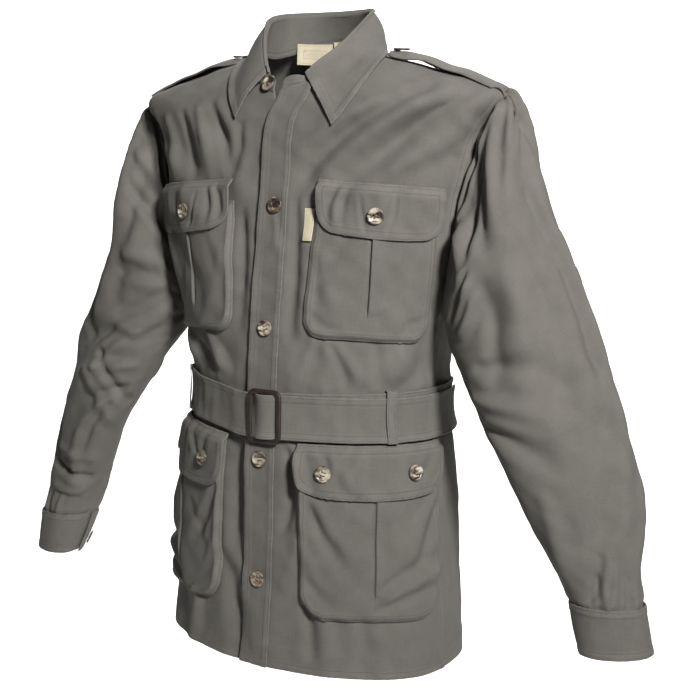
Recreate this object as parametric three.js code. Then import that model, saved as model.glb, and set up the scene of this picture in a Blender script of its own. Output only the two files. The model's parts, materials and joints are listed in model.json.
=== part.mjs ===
import * as THREE from 'three';

// A belted safari jacket, filled out as worn with nobody in it.
// Millimetres, +Z up, front toward -Y, the wearer's left toward +X.
// The origin lies between the shoulders at the height of the side of the neck.

const CLOTH = 1.6;          // wall of one layer of cotton
const DOUBLE = 2.4;         // wall of a turned and stitched double layer
const SEAM = 0.3;           // space between two pieces at a seam
const LAY = 0.6;            // space under a piece that lies on another
const WAIST = -437;         // height of the belt line
const BELT_WIDE = 52;
const ARM_STEPS = 28;       // samples round an armhole and its sleeve
const ARMHOLE_FRONT = THREE.MathUtils.degToRad(12);  // the armhole's reach before the side line
const ARMHOLE_BACK = THREE.MathUtils.degToRad(36);   // and behind it
const YOKE_FRONT_STEPS = 2; // the shoulder seam meets the armhole this many samples before its top
const YOKE_BACK_STEPS = 4;  // the back yoke seam meets it this many samples behind its top
const FRONT_EDGE = 20;      // each front passes the centre by this much
const HEM_SLANT = 8;        // the hem hangs this much lower at the wearer's left side
const BUTTON_ACROSS = 20;
const BUTTON_THICK = 3;

const OLIVE = new THREE.Color(0x6b6862);
const CREAM = new THREE.Color(0xb9b2a4);
const HORN = new THREE.Color(0x8a7b6c);
const LEATHER = new THREE.Color(0x2c211d);

const rad = THREE.MathUtils.degToRad;
const lerp = THREE.MathUtils.lerp;
const clamp = THREE.MathUtils.clamp;
const smooth = (x) => THREE.MathUtils.smoothstep(x, 0, 1);
const vec = (x, y, z) => new THREE.Vector3(x, y, z);
const steps = (n, f) => Array.from({ length: n }, (_, i) => f(i));

// A table with named columns: a list of names, then one row of values for each line.
function table(names, lines) {
  return lines.map((line) => Object.fromEntries(names.map((name, i) => [name, line[i]])));
}

// A smooth curve through one column of a table, at a row number that may lie between rows.
function along(rows, name, u) {
  const i = clamp(Math.floor(u), 0, rows.length - 2);
  const t = clamp(u - i, 0, 1);
  const at = (k) => rows[clamp(k, 0, rows.length - 1)][name];
  const [a, b, c, d] = [at(i - 1), at(i), at(i + 1), at(i + 2)];
  return b + 0.5 * t * (c - a + t * (2 * a - 5 * b + 4 * c - d + t * (3 * (b - c) + d - a)));
}

// Rings of the body from hem to neck. side: height at the side; wide: half width; front, back:
// depth each way; frontUp, backUp: how far the centres lie above the side; square and backSquare:
// how boxy the front and the back are.
const BODY = table(['side', 'wide', 'front', 'back', 'frontUp', 'backUp', 'square', 'backSquare'], [
  [-741, 192, 131, 166, -2, 0, 2.1, 2.5],
  [-690, 190, 127, 168, -2, 0, 2.1, 2.5],
  [-620, 186, 123, 166, 0, 0, 2.1, 2.5],
  [-550, 181, 122, 164, 0, 0, 2.1, 2.5],
  [-490, 174, 122, 156, 0, 0, 2.05, 2.5],
  [-437, 165, 119, 150, 0, 0, 2.05, 2.5],
  [-390, 166, 118, 152, 0, 0, 2.05, 2.5],
  [-345, 171, 115, 158, 0, 0, 2.1, 2.5],
  [-292, 181, 110, 154, 0, 0, 2.2, 2.4],
  [-225, 204, 103, 146, 0, 0, 2.3, 2.4],
  [-150, 219, 96, 135, -8, -12, 2.35, 2.35],
  [-95, 230, 92, 122, -14, -25, 2.35, 2.35],
  [-50, 251, 89, 106, -29, -38, 2.35, 2.35],
  [-22, 160, 87, 87, -43, -14, 2.25, 2.25],
  [0, 77, 85, 66, -52, 20, 2.1, 2.1],
]);
const ARMPIT = 8;
const SHOULDER_TIP = 12;
const NECK = BODY.length - 1;
const ARM_MID = (ARMPIT + SHOULDER_TIP) / 2;
const ARM_TALL = (SHOULDER_TIP - ARMPIT) / 2;

// The largest soft folds of the body. face: front or back; x, z to x2, z2: the line it runs
// along; wide: its reach; deep: height, negative for a trough.
const FOLDS = table(['face', 'x', 'z', 'x2', 'z2', 'wide', 'deep'], [
  ['front', 196, -120, 60, -300, 16, 3.4],
  ['front', 205, -175, 95, -350, 14, -3.0],
  ['front', 150, -95, 35, -190, 15, 2.6],
  ['front', 110, -90, 28, -150, 12, -2.4],
  ['front', 175, -330, 120, -395, 16, 3.0],
  ['front', 60, -360, 95, -405, 14, -2.2],
  ['front', -190, -120, -75, -250, 16, 3.2],
  ['front', -205, -180, -110, -300, 14, -2.8],
  ['front', -130, -95, -50, -170, 14, 2.4],
  ['front', -160, -330, -130, -400, 15, 2.8],
  ['front', 150, -560, 40, -700, 15, -2.4],
  ['front', 45, -490, 50, -640, 12, 2.0],
  ['front', -60, -500, -52, -690, 14, 2.4],
  ['front', -150, -640, -130, -736, 15, -3.0],
  ['front', 160, -650, 175, -736, 16, 3.0],
  ['back', 60, -300, 95, -405, 20, 5.0],
  ['back', -50, -290, -90, -400, 20, 5.0],
  ['back', 5, -330, 10, -410, 17, 4.0],
  ['back', 150, -200, 60, -300, 18, 4.0],
  ['back', -150, -190, -70, -290, 18, 4.0],
  ['back', 90, -490, 110, -690, 22, 4.5],
  ['back', -80, -490, -105, -700, 22, 4.5],
  ['back', 10, -490, 5, -680, 20, -4.0],
]);

function foldHeight(p) {
  const calm = smooth((Math.abs(p.z - WAIST) - BELT_WIDE / 2 - 3) / 36);
  let sum = 0;
  for (const f of FOLDS) {
    if ((f.face === 'front') !== p.y < 0) continue;
    const dx = f.x2 - f.x;
    const dz = f.z2 - f.z;
    const t = clamp(((p.x - f.x) * dx + (p.z - f.z) * dz) / (dx * dx + dz * dz), 0, 1);
    const away = Math.hypot(p.x - f.x - t * dx, p.z - f.z - t * dz);
    sum += f.deep * Math.exp(-((away / f.wide) ** 2));
  }
  return sum * calm * smooth(Math.abs(p.y) / 40);
}

function signedPower(v, e) {
  return Math.sign(v) * Math.abs(v) ** e;
}

// The body's smooth form at an angle round it (0 front, 90 degrees the wearer's left) and a ring.
function form(phi, u) {
  const row = (name) => along(BODY, name, u);
  const s = Math.sin(phi);
  const c = Math.cos(phi);
  const e = 2 / (c > 0 ? row('square') : row('backSquare'));
  const deep = c > 0 ? row('front') : row('back');
  const up = c > 0 ? row('frontUp') : row('backUp');
  const sunk = HEM_SLANT * s * clamp(1 - u / 3, 0, 1);
  return vec(row('wide') * signedPower(s, e), -deep * signedPower(c, e), row('side') + up * c * c - sunk);
}

function outward(phi, u) {
  const round = form(phi + 0.03, u).sub(form(phi - 0.03, u));
  const up = form(phi, Math.min(u + 0.05, NECK)).sub(form(phi, Math.max(u - 0.05, 0)));
  return round.cross(up).normalize();
}

// A point of the cloth's outer face, moved out by `out`, with its normal.
function skin(phi, u, out = 0) {
  const p = form(phi, u);
  const n = outward(phi, u);
  return { p: p.clone().addScaledVector(n, foldHeight(p) + out), n };
}

// The angle at which a ring passes a given distance to the side of the centre front.
function angleAt(x, u) {
  const part = Math.min(Math.abs(x) / along(BODY, 'wide', u), 1);
  return Math.sign(x) * Math.asin(part ** (along(BODY, 'square', u) / 2));
}

// The angle at which a ring passes a given distance in front of (or, negative, behind) the ridge.
function angleBeforeRidge(y, u) {
  const deep = along(BODY, y > 0 ? 'front' : 'back', u);
  const square = along(BODY, y > 0 ? 'square' : 'backSquare', u);
  const part = Math.min(Math.abs(y) / deep, 1) ** (square / 2);
  return Math.PI / 2 - Math.sign(y) * Math.asin(part);
}

// The ring whose height is z at an angle.
function ringAt(z, phi) {
  let [low, high] = [0, NECK];
  for (let i = 0; i < 24; i++) {
    const mid = (low + high) / 2;
    if (form(phi, mid).z < z) low = mid;
    else high = mid;
  }
  return (low + high) / 2;
}

// Angle and ring at a tape distance from the centre front (wearer's left positive) and a height.
function spot(distance, z) {
  let phi = distance / 150;
  let u = ringAt(z, phi);
  for (let pass = 0; pass < 3; pass++) {
    const parts = 40;
    const total = Math.abs(distance);
    const way = Math.sign(distance) || 1;
    let [gone, angle] = [0, 0];
    let last = form(0, u);
    while (gone < total && angle < Math.PI) {
      angle += Math.PI / 4 / parts;
      const next = form(way * angle, u);
      const hop = next.distanceTo(last);
      if (gone + hop > total) angle -= (Math.PI / 4 / parts) * (1 - (total - gone) / hop);
      gone += hop;
      last = next;
    }
    phi = way * angle;
    u = ringAt(z, phi);
  }
  return { phi, u };
}

function skinAt(distance, z, out = 0) {
  const { phi, u } = spot(distance, z);
  return skin(phi, u, out);
}

// A closed wall from a grid of outer points with their normals. `ring` joins the last column to
// the first.
function wall(grid, thick = CLOTH, ring = false) {
  const rows = grid.length;
  const cols = grid[0].length;
  const outer = grid.flat().map((g) => g.p);
  const inner = grid.flat().map((g) => g.p.clone().addScaledVector(g.n, -(g.thick ?? thick)));
  const points = [...outer, ...inner];
  const half = rows * cols;
  const faces = [];
  const quad = (a, b, c, d) => faces.push(a, b, c, a, c, d);
  const at = (i, j) => i * cols + (j % cols);
  const spans = ring ? cols : cols - 1;
  for (let i = 0; i < rows - 1; i++) {
    for (let j = 0; j < spans; j++) {
      quad(at(i, j), at(i, j + 1), at(i + 1, j + 1), at(i + 1, j));
      quad(half + at(i + 1, j), half + at(i + 1, j + 1), half + at(i, j + 1), half + at(i, j));
    }
  }
  for (let j = 0; j < spans; j++) {
    quad(at(0, j + 1), at(0, j), half + at(0, j), half + at(0, j + 1));
    const end = rows - 1;
    quad(at(end, j), at(end, j + 1), half + at(end, j + 1), half + at(end, j));
  }
  if (!ring) {
    for (let i = 0; i < rows - 1; i++) {
      quad(at(i, 0), at(i + 1, 0), half + at(i + 1, 0), half + at(i, 0));
      const end = cols - 1;
      quad(at(i + 1, end), at(i, end), half + at(i, end), half + at(i + 1, end));
    }
  }
  return closed(points, faces);
}

function closed(points, faces) {
  let volume = 0;
  for (let i = 0; i < faces.length; i += 3) {
    const [a, b, c] = [points[faces[i]], points[faces[i + 1]], points[faces[i + 2]]];
    volume += a.dot(b.clone().cross(c));
  }
  if (volume < 0) faces.reverse();
  const geometry = new THREE.BufferGeometry();
  const numbers = points.flatMap((p) => [p.x, p.y, p.z]);
  geometry.setAttribute('position', new THREE.Float32BufferAttribute(numbers, 3));
  geometry.setIndex(faces);
  geometry.computeVertexNormals();
  return geometry;
}

// Draws one border of a grid back by the seam's space, along the line that crosses it.
function drawBack(point, inner) {
  const way = inner.p.clone().sub(point.p).normalize();
  point.p.addScaledVector(way, SEAM);
}

// Normals of a grid that is not part of the body, from its own neighbours.
function withNormals(points, ring = false) {
  const rows = points.length;
  const cols = points[0].length;
  const column = (j) => (ring ? (j + cols) % cols : clamp(j, 0, cols - 1));
  return points.map((line, i) => line.map((p, j) => {
    const round = line[column(j + 1)].clone().sub(line[column(j - 1)]);
    const down = points[Math.min(i + 1, rows - 1)][j].clone().sub(points[Math.max(i - 1, 0)][j]);
    return { p, n: down.cross(round).normalize() };
  }));
}

const jacket = new THREE.Group();
const shades = { cloth: [OLIVE, 0.92], label: [CREAM, 0.85], horn: [HORN, 0.35], leather: [LEATHER, 0.45] };

function add(name, geometry, shade = 'cloth') {
  const [color, roughness] = shades[shade];
  const material = new THREE.MeshStandardMaterial({ color, roughness, metalness: 0 });
  const mesh = new THREE.Mesh(geometry, material);
  mesh.name = name;
  jacket.add(mesh);
}

// Armhole samples: 0 at the shoulder tip, counted toward the front, half way round at the armpit.
function armholeSpot(k) {
  const psi = (k / ARM_STEPS) * 2 * Math.PI;
  const reach = Math.sin(psi) > 0 ? ARMHOLE_FRONT : ARMHOLE_BACK;
  return { phi: Math.PI / 2 - reach * Math.sin(psi), u: ARM_MID + ARM_TALL * Math.cos(psi) };
}

const LOWER_ROWS = [0, 0.35, 0.8, 1.4, 2.1, 2.8, 3.5, 4.1, 4.6, 5.1, 5.6, 6.1, 6.7, 7.3, ARMPIT];
const SHOULDER_FRONT_AT_NECK = 23;
const LEFT_OVER = CLOTH + LAY + 0.1;

// Where a front's own edge runs, to the side of the centre: past it, then parted at the neck.
function frontEdge(side, u) {
  const parted = smooth((u - 10.9) / 3.1);
  return -FRONT_EDGE + parted * (side > 0 ? 19 : 32);
}

// How far the left front stands out where it crosses the right one.
function overlapLift(x) {
  return LEFT_OVER * (1 - smooth((x - 24) / 30));
}

const FRONT_COLS = 11;

function frontRows() {
  const seamStart = armholeSpot(YOKE_FRONT_STEPS);
  const seamEnd = { phi: angleBeforeRidge(SHOULDER_FRONT_AT_NECK, NECK), u: NECK };
  const edges = LOWER_ROWS.map((u) => ({ phi: Math.PI / 2, u, drawn: true }));
  for (let k = ARM_STEPS / 2 - 1; k >= YOKE_FRONT_STEPS; k--) edges.push(armholeSpot(k));
  for (const t of [0.34, 0.67, 1]) {
    const phi = lerp(seamStart.phi, seamEnd.phi, t);
    edges.push({ phi, u: lerp(seamStart.u, seamEnd.u, t), drawn: true });
  }
  return edges;
}

function front(side) {
  const cols = FRONT_COLS;
  const grid = frontRows().map(({ phi: far, u, drawn }) => {
    const start = frontEdge(side, u);
    const turn = angleAt(start + 2 * FRONT_EDGE, u);
    const line = steps(cols, (j) => {
      const phi = j < 3 ? angleAt(start + j * FRONT_EDGE, u) : lerp(turn, far, (j - 2) / (cols - 3));
      return skin(side * phi, u, side > 0 ? overlapLift(form(phi, u).x) : 0);
    });
    if (drawn) drawBack(line[cols - 1], line[cols - 2]);
    return line;
  });
  return wall(grid);
}

function back() {
  const half = 8;
  const edges = LOWER_ROWS.map((u) => ({ phi: Math.PI / 2, u }));
  for (let k = ARM_STEPS / 2 - 1; k >= YOKE_BACK_STEPS; k--) edges.push(armholeSpot(-k));
  const grid = edges.map(({ phi: near, u }) =>
    steps(2 * half + 1, (j) => skin(lerp(near, 2 * Math.PI - near, j / (2 * half)), u)));
  const top = grid.length - 1;
  grid[top].forEach((g, j) => drawBack(g, grid[top - 1][j]));
  return wall(grid);
}

function yoke() {
  const backCols = 8;
  const corner = armholeSpot(-YOKE_BACK_STEPS);
  const outer = steps(backCols, (i) => ({ phi: lerp(Math.PI, corner.phi, i / backCols), u: corner.u }));
  for (let k = -YOKE_BACK_STEPS; k <= YOKE_FRONT_STEPS; k++) outer.push(armholeSpot(k));
  const neckFront = angleBeforeRidge(SHOULDER_FRONT_AT_NECK, NECK);
  const last = outer.length - 1;
  const spots = outer.map((o, i) => ({ o, n: { phi: lerp(Math.PI, neckFront, i / last), u: NECK } }));
  const right = spots.slice(1).reverse().map((s) => ({ ...s, side: -1 }));
  const both = [...right, ...spots.map((s) => ({ ...s, side: 1 }))];
  const grid = [0, 0.3, 0.6, 0.85, 1].map((t) => both.map(({ o, n, side }) =>
    skin(side * lerp(o.phi, n.phi, t), lerp(o.u, n.u, t))));
  return wall(grid);
}

// Sleeve sections from shoulder to wrist, for the wearer's left arm. The outer point and the inner
// point of each, half its depth across them, and how far its middle bulges outward.
const SLEEVE = table(['outX', 'outY', 'outZ', 'inX', 'inY', 'inZ', 'deep', 'bulge'], [
  [251, 0, -50, 181, 0, -292, 55, 0],
  [266, 1, -57, 183, -3, -297, 57, 2],
  [280, 3, -84, 185, -8, -309, 60, 3],
  [291, 7, -128, 190, -14, -326, 62, 3],
  [303, 26, -184, 199, -24, -346, 63, 2],
  [325, 37, -245, 214, -34, -366, 62, 0],
  [351, 43, -310, 233, -45, -392, 57, 0],
  [378, 37, -368, 250, -50, -420, 52, 0],
  [394, 36, -420, 267, -53, -450, 47, 0],
  [414, 32, -472, 289, -54, -484, 42, 0],
  [426, 28, -520, 308, -48, -524, 39, 0],
  [429, 22, -562, 328, -41, -562, 39, 0],
  [431, 16, -600, 350, -35, -600, 39, 0],
  [437, 12, -628, 363, -34, -627, 38, 0],
]);
const CUFF_ROWS = table(['outX', 'outY', 'outZ', 'inX', 'inY', 'inZ', 'deep', 'bulge'], [
  [437.3, 12, -628.5, 363.3, -34, -627.5, 38, 0],
  [441, 11, -645, 367, -36, -644, 37, 0],
  [446, 9, -665, 373, -38, -664, 34, 0],
  [450, 8, -683, 380, -40, -683, 30, 0],
]);

// Largest folds of a sleeve: round is counted from the outer side toward the front, in degrees,
// run is the share of the sleeve's length.
const SLEEVE_FOLDS = table(['round', 'run', 'round2', 'run2', 'wide', 'deep'], [
  [10, 0.02, 50, 0.34, 14, -4.5],
  [35, 0.02, 75, 0.3, 13, 3.5],
  [75, 0.04, 105, 0.36, 13, -4.5],
  [115, 0.1, 85, 0.42, 13, 4.0],
  [-20, 0.05, -45, 0.4, 14, -4.0],
  [-70, 0.05, -60, 0.3, 14, 3.5],
  [140, 0.42, 80, 0.52, 12, -5.0],
  [165, 0.5, 95, 0.6, 13, 4.5],
  [170, 0.58, 110, 0.67, 12, -4.5],
  [60, 0.5, 25, 0.66, 14, 3.5],
  [-100, 0.55, -60, 0.64, 13, 3.5],
  [60, 0.7, 95, 0.84, 11, -3.5],
  [130, 0.74, 150, 0.9, 11, 3.0],
  [15, 0.72, 40, 0.88, 12, 3.0],
]);

function section(rows, u, psi) {
  const at = (name) => along(rows, name, u);
  const outer = vec(at('outX'), at('outY'), at('outZ'));
  const inner = vec(at('inX'), at('inY'), at('inZ'));
  const axis = outer.clone().sub(inner).multiplyScalar(0.5);
  const level = vec(axis.y, -axis.x, 0).normalize().multiplyScalar(at('deep'));
  const bulge = at('bulge') * (1 - Math.cos(2 * psi)) / 2;
  const bow = vec(Math.abs(level.y), level.x, 0).normalize().multiplyScalar(bulge);
  const centre = outer.add(inner).multiplyScalar(0.5);
  return centre.addScaledVector(axis, Math.cos(psi)).addScaledVector(level, Math.sin(psi)).add(bow);
}

function mirrored(grid, side) {
  const flip = (v) => vec(side * v.x, v.y, v.z);
  return grid.map((line) => line.map((g) => ({ ...g, p: flip(g.p), n: flip(g.n) })));
}

function sleeveFold(psi, run) {
  const size = 620;
  let sum = 0;
  for (const f of SLEEVE_FOLDS) {
    const radius = lerp(95, 45, run);
    const wrap = (a) => Math.atan2(Math.sin(a), Math.cos(a));
    const dr = wrap(rad(f.round2 - f.round)) * radius;
    const dl = (f.run2 - f.run) * size;
    const pr = wrap(psi - rad(f.round)) * radius;
    const pl = (run - f.run) * size;
    const t = clamp((pr * dr + pl * dl) / (dr * dr + dl * dl), 0, 1);
    sum += f.deep * Math.exp(-((Math.hypot(pr - t * dr, pl - t * dl) / f.wide) ** 2));
  }
  return sum * smooth(run / 0.06) * smooth((1 - run) / 0.06);
}

function armhole(k) {
  const { phi, u } = armholeSpot(k);
  return skin(phi, u);
}

// The sleeve's points without folds: the first ring is the armhole, its leftover dies out.
function sleevePoint(k, run) {
  const psi = (k / ARM_STEPS) * 2 * Math.PI;
  const u = run * (SLEEVE.length - 1);
  const leftover = armhole(k).p.sub(section(SLEEVE, 0, psi));
  return section(SLEEVE, u, psi).addScaledVector(leftover, 1 - smooth(u / 3.2));
}

const SLEEVE_ROWS = 19;

function sleeveGrid() {
  const rows = steps(SLEEVE_ROWS, (i) => (i / (SLEEVE_ROWS - 1)) ** 1.12);
  const points = rows.map((run) => steps(ARM_STEPS, (k) => sleevePoint(k, run)));
  const grid = withNormals(points, true);
  facingOut(grid, 6, 0);
  grid.forEach((line, i) => line.forEach((g, k) => {
    g.p.addScaledVector(g.n, sleeveFold((k / ARM_STEPS) * 2 * Math.PI, rows[i]));
  }));
  grid[0] = steps(ARM_STEPS, (k) => {
    const here = armhole(k);
    const way = armhole(k + 1).p.sub(armhole(k - 1).p).cross(here.n).normalize();
    const middle = vec(215, 0, -170).sub(here.p);
    here.p.addScaledVector(way, 1.5 * SEAM * Math.sign(way.dot(middle)));
    return here;
  });
  return grid;
}

// A cuff wraps once round the wrist and on under its own edge.
const CUFF_EDGE = rad(-150);
const CUFF_LAP = rad(38);

function cuffGrid() {
  const cols = 26;
  const rows = 4;
  const points = steps(rows, (i) => steps(cols, (j) => {
    const turn = (j / (cols - 1)) * (2 * Math.PI + CUFF_LAP);
    return section(CUFF_ROWS, (i / (rows - 1)) * (CUFF_ROWS.length - 1), CUFF_EDGE + turn);
  }));
  const grid = withNormals(points);
  facingOut(grid, 2, 13);
  grid.forEach((line) => line.forEach((g, j) => {
    const turn = (j / (cols - 1)) * (2 * Math.PI + CUFF_LAP);
    const under = smooth((turn - 2 * Math.PI + rad(50)) / rad(46));
    g.p.addScaledVector(g.n, -under * (DOUBLE + LAY));
  }));
  return grid;
}

// The nearest place of the body's smooth form to a point, and how far the point stands out of it.
function nearest(p) {
  let phi = Math.atan2(p.x, -p.y);
  let u = clamp(NECK - Math.hypot(p.x, p.y) / 60 + 1, 8, NECK);
  let best = form(phi, u).distanceTo(p);
  for (let [dp, du] = [0.3, 0.8]; dp > 0.002;) {
    const tries = [[dp, 0], [-dp, 0], [0, du], [0, -du]].map(([a, b]) => {
      const at = { phi: phi + a, u: clamp(u + b, 6, NECK) };
      return { ...at, far: form(at.phi, at.u).distanceTo(p) };
    });
    const nearer = tries.reduce((a, b) => (b.far < a.far ? b : a));
    if (nearer.far < best) ({ phi, u, far: best } = nearer);
    else [dp, du] = [dp / 2, du / 2];
  }
  const n = outward(phi, u);
  return { phi, u, n, out: p.clone().sub(form(phi, u)).dot(n) };
}

// Lifts a point clear of the body's cloth.
function clearOf(p, gap) {
  const near = nearest(p);
  const short = gap + foldHeight(p) - near.out;
  return short > 0 ? p.addScaledVector(near.n, short) : p;
}

// The collar from the middle of the back to the left front end. round: degrees round the neck
// seam; fold: the fold line; edge: the leaf's free edge. On the wearer's right the fold stands
// rightUp higher and the edge lies rightIn closer to the neck.
const COLLAR_COLUMNS = ['round', 'foldX', 'foldY', 'foldZ', 'rightUp', 'rightIn', 'edgeX', 'edgeY', 'edgeZ'];
const COLLAR = table(COLLAR_COLUMNS, [
  [180, 0, 54, 54, 0, 0, 0, 74, 18],
  [155, 33, 50, 54, 0, 0, 40, 68, 14],
  [128, 58, 32, 52, 0, 0, 70, 42, 8],
  [102, 66, 3, 41, 6, 2, 91, 6, -6],
  [78, 64, -24, 22, 16, 8, 104, -28, -27],
  [55, 53, -50, -2, 18, 12, 101, -60, -52],
  [36, 40, -68, -18, 10, 12, 89, -83, -74],
  [20, 28, -79, -31, 2, 10, 74, -92, -92],
]);
const LEAF_COLS = 12;

function leafPoint(j, side, t) {
  const u = (j / LEAF_COLS) * (COLLAR.length - 1);
  const at = (name) => along(COLLAR, name, u);
  const up = side < 0 ? at('rightUp') : 0;
  const fold = vec(at('foldX'), at('foldY'), at('foldZ') + up);
  const drawnIn = side < 0 ? at('rightIn') : 0;
  const edge = vec(at('edgeX') - drawnIn, at('edgeY'), at('edgeZ') + drawnIn);
  const away = vec(fold.x, fold.y + 15, 22).normalize();
  const p = fold.lerp(edge, t).addScaledVector(away, 4 * Math.sin(Math.PI * t));
  p.x *= side;
  const overPlacket = 3.8 * (1 - smooth((Math.abs(p.x) - 42) / 14));
  return t > 0.1 ? clearOf(p, DOUBLE + 1.8 + overPlacket) : p;
}

function leafGrid() {
  const points = steps(6, (i) => {
    const half = (side) => steps(LEAF_COLS + 1, (j) => leafPoint(j, side, i / 5));
    return [...half(-1).slice(1).reverse(), ...half(1)];
  });
  return facingOut(withNormals(points), 2, 2 * LEAF_COLS);
}

// Turns all normals round if the one named does not point to the wearer's left.
function facingOut(grid, i, j) {
  if (grid[i][j].n.x < 0) grid.flat().forEach((g) => g.n.negate());
  return grid;
}

// The stand rises from the neck seam to just under the fold, and runs on past the leaf's ends to
// the edges of the fronts, where its upper corners are rounded.
const STAND_END_TALL = 15;

function standGrid() {
  const leaf = leafGrid();
  const seam = vec(0, 0, 4.6 * SEAM);
  const foot = (side, j) => {
    const u = (j / LEAF_COLS) * (COLLAR.length - 1);
    const { p, n } = skin(side * rad(along(COLLAR, 'round', u)), NECK);
    return p.addScaledVector(n, side > 0 && p.y < -40 ? overlapLift(p.x) : 0).add(seam);
  };
  const under = (side, j) => {
    const { p, n } = leaf[0][LEAF_COLS + side * j];
    return p.clone().addScaledVector(n, -(DOUBLE + LAY + 0.4)).add(vec(-p.x, -p.y, 0).normalize());
  };
  const half = (side, t) => steps(LEAF_COLS + 1, (j) => foot(side, j).lerp(under(side, j), t));
  const end = (side, t) => [0.4, 0.8, 1].map((share) => {
    const from = foot(side, LEAF_COLS);
    const x = lerp(from.x, side > 0 ? 0 : -13, share);
    const low = skin(angleAt(x, NECK), NECK, side > 0 ? overlapLift(x) : 0).p.add(seam);
    const high = low.clone().add(vec(0, 2.5, STAND_END_TALL * (share === 1 ? 0.7 : 1)));
    return low.lerp(high, t);
  });
  const points = [0, 0.35, 0.7, 1].map((t) => [
    ...end(-1, t).reverse(), ...half(-1, t).slice(1).reverse(), ...half(1, t), ...end(1, t),
  ]);
  return facingOut(withNormals(points), 1, 2 * LEAF_COLS);
}

// A patch laid on the body, rounded at its lower corners. A pocket stands out by `rise` inside its
// rim; a flap starts on the panel and steps out by `over` to pass over its pocket. `flat` is how
// much less both do so at the outer side.
const POCKET_ACROSS = [-1, -0.96, -0.7, -0.35, -0.06, 0.06, 0.35, 0.7, 0.96, 1];
const POCKET_DOWN = [0, 0.04, 0.1, 0.4, 0.75];
const FLAP_ACROSS = [-1, -0.75, -0.5, -0.25, 0, 0.25, 0.5, 0.75, 1];
const FLAP_DOWN = [0, 0.18, 0.36];

function patch(spec) {
  const { middle, top, wide, tall, round, base, over } = spec;
  const { lean = 0, rise = 0, tilt = 0, sag = 0, pleat = 0, flat = 0 } = spec;
  const side = Math.sign(middle);
  const across = over ? FLAP_ACROSS : POCKET_ACROSS;
  const down = (over ? FLAP_DOWN : POCKET_DOWN).map((t) => t * (tall - round));
  for (const a of [0, 30, 60, 90]) down.push(tall - round + round * Math.sin(rad(a)));
  return down.map((fall) => {
    const turned = clamp((fall - (tall - round)) / round, 0, 1);
    const half = wide / 2 - round * (1 - Math.sqrt(1 - turned * turned));
    return across.map((s) => {
      const rimSide = smooth((1 - Math.abs(s)) * wide / 2 / 5);
      const rimEnd = smooth((tall - fall) / 6) * smooth(fall / 14);
      const step = over ? over * smooth(fall / 12) : 0;
      const swell = 1 - flat * (1 + side * s) / 2;
      const groove = pleat * Math.exp(-((s * wide / 2 / 6) ** 2)) * smooth((tall - fall) / 40);
      const bow = sag * (1 - s * s) * (fall / tall);
      const distance = middle + side * lean * (fall / tall) + s * half;
      const out = base + swell * (step + rise * rimSide * rimEnd) - groove * rimEnd;
      return skinAt(distance, top - fall - bow + side * tilt * s * half, out);
    });
  });
}

function buttonShape() {
  const r = BUTTON_ACROSS / 2;
  const profile = [[0, 0], [r - 1, 0], [r, 1], [r, 2.2], [r - 1.2, BUTTON_THICK], [r - 3, 2.2], [0, 2.2]];
  return new THREE.LatheGeometry(profile.map(([x, y]) => new THREE.Vector2(x, y)), 10);
}

// Sets a shape whose foot is the XZ plane on a place, facing along its normal.
function seated(geometry, { p, n }, gap = 0.4) {
  const turn = new THREE.Quaternion().setFromUnitVectors(vec(0, 1, 0), n);
  return geometry.applyQuaternion(turn).translate(...p.clone().addScaledVector(n, gap).toArray());
}

function flip(place, side) {
  return { p: vec(side * place.p.x, place.p.y, place.p.z), n: vec(side * place.n.x, place.n.y, place.n.z) };
}

// Pockets and flaps: middle is the tape distance from the centre front, top the height of the top.
const ON_PANEL = LAY + CLOTH + 0.45;
const CHEST_POCKET = {
  middle: 133, top: -185, wide: 148, tall: 158, round: 22,
  lean: -8, tilt: -0.03, rise: 5, pleat: 1.5, base: ON_PANEL + 0.2,
};
const CHEST_FLAP = {
  middle: 136, top: -160, wide: 148, tall: 58, round: 24,
  tilt: -0.05, sag: 5, base: 3.7, over: 7.4,
};
const HIP_POCKET = {
  middle: 144, top: -471.5, wide: 182, tall: 206, round: 32,
  lean: 4, rise: 7, pleat: 1.5, flat: 0.5, base: ON_PANEL,
};
const HIP_FLAP = {
  middle: 143, top: -467.4, wide: 186, tall: 53, round: 18,
  flat: 0.35, base: 3.7, over: 9.8,
};
// The right hip flap lies higher and slopes, under the belt's higher side.
const RIGHT_FLAP = { up: 9, tilt: 0.08 };

// How far a flap's face stands out at a tape distance from the centre front.
function flapFace({ middle, wide, base, over, flat = 0 }, distance) {
  return base + over * (1 - flat * (1 + (distance - middle) / (wide / 2)) / 2);
}

// A strip over the left front's edge, which carries the buttons.
const PLACKET_WIDE = 40;
const PLACKET_OUT = LEFT_OVER + LAY + CLOTH;

function placket() {
  const grid = frontRows().map(({ u }) => [0, 0.5, 1].map((t) => {
    const x = frontEdge(1, u) + t * PLACKET_WIDE;
    return skin(angleAt(x, u), u, PLACKET_OUT);
  }));
  return wall(grid);
}

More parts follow.
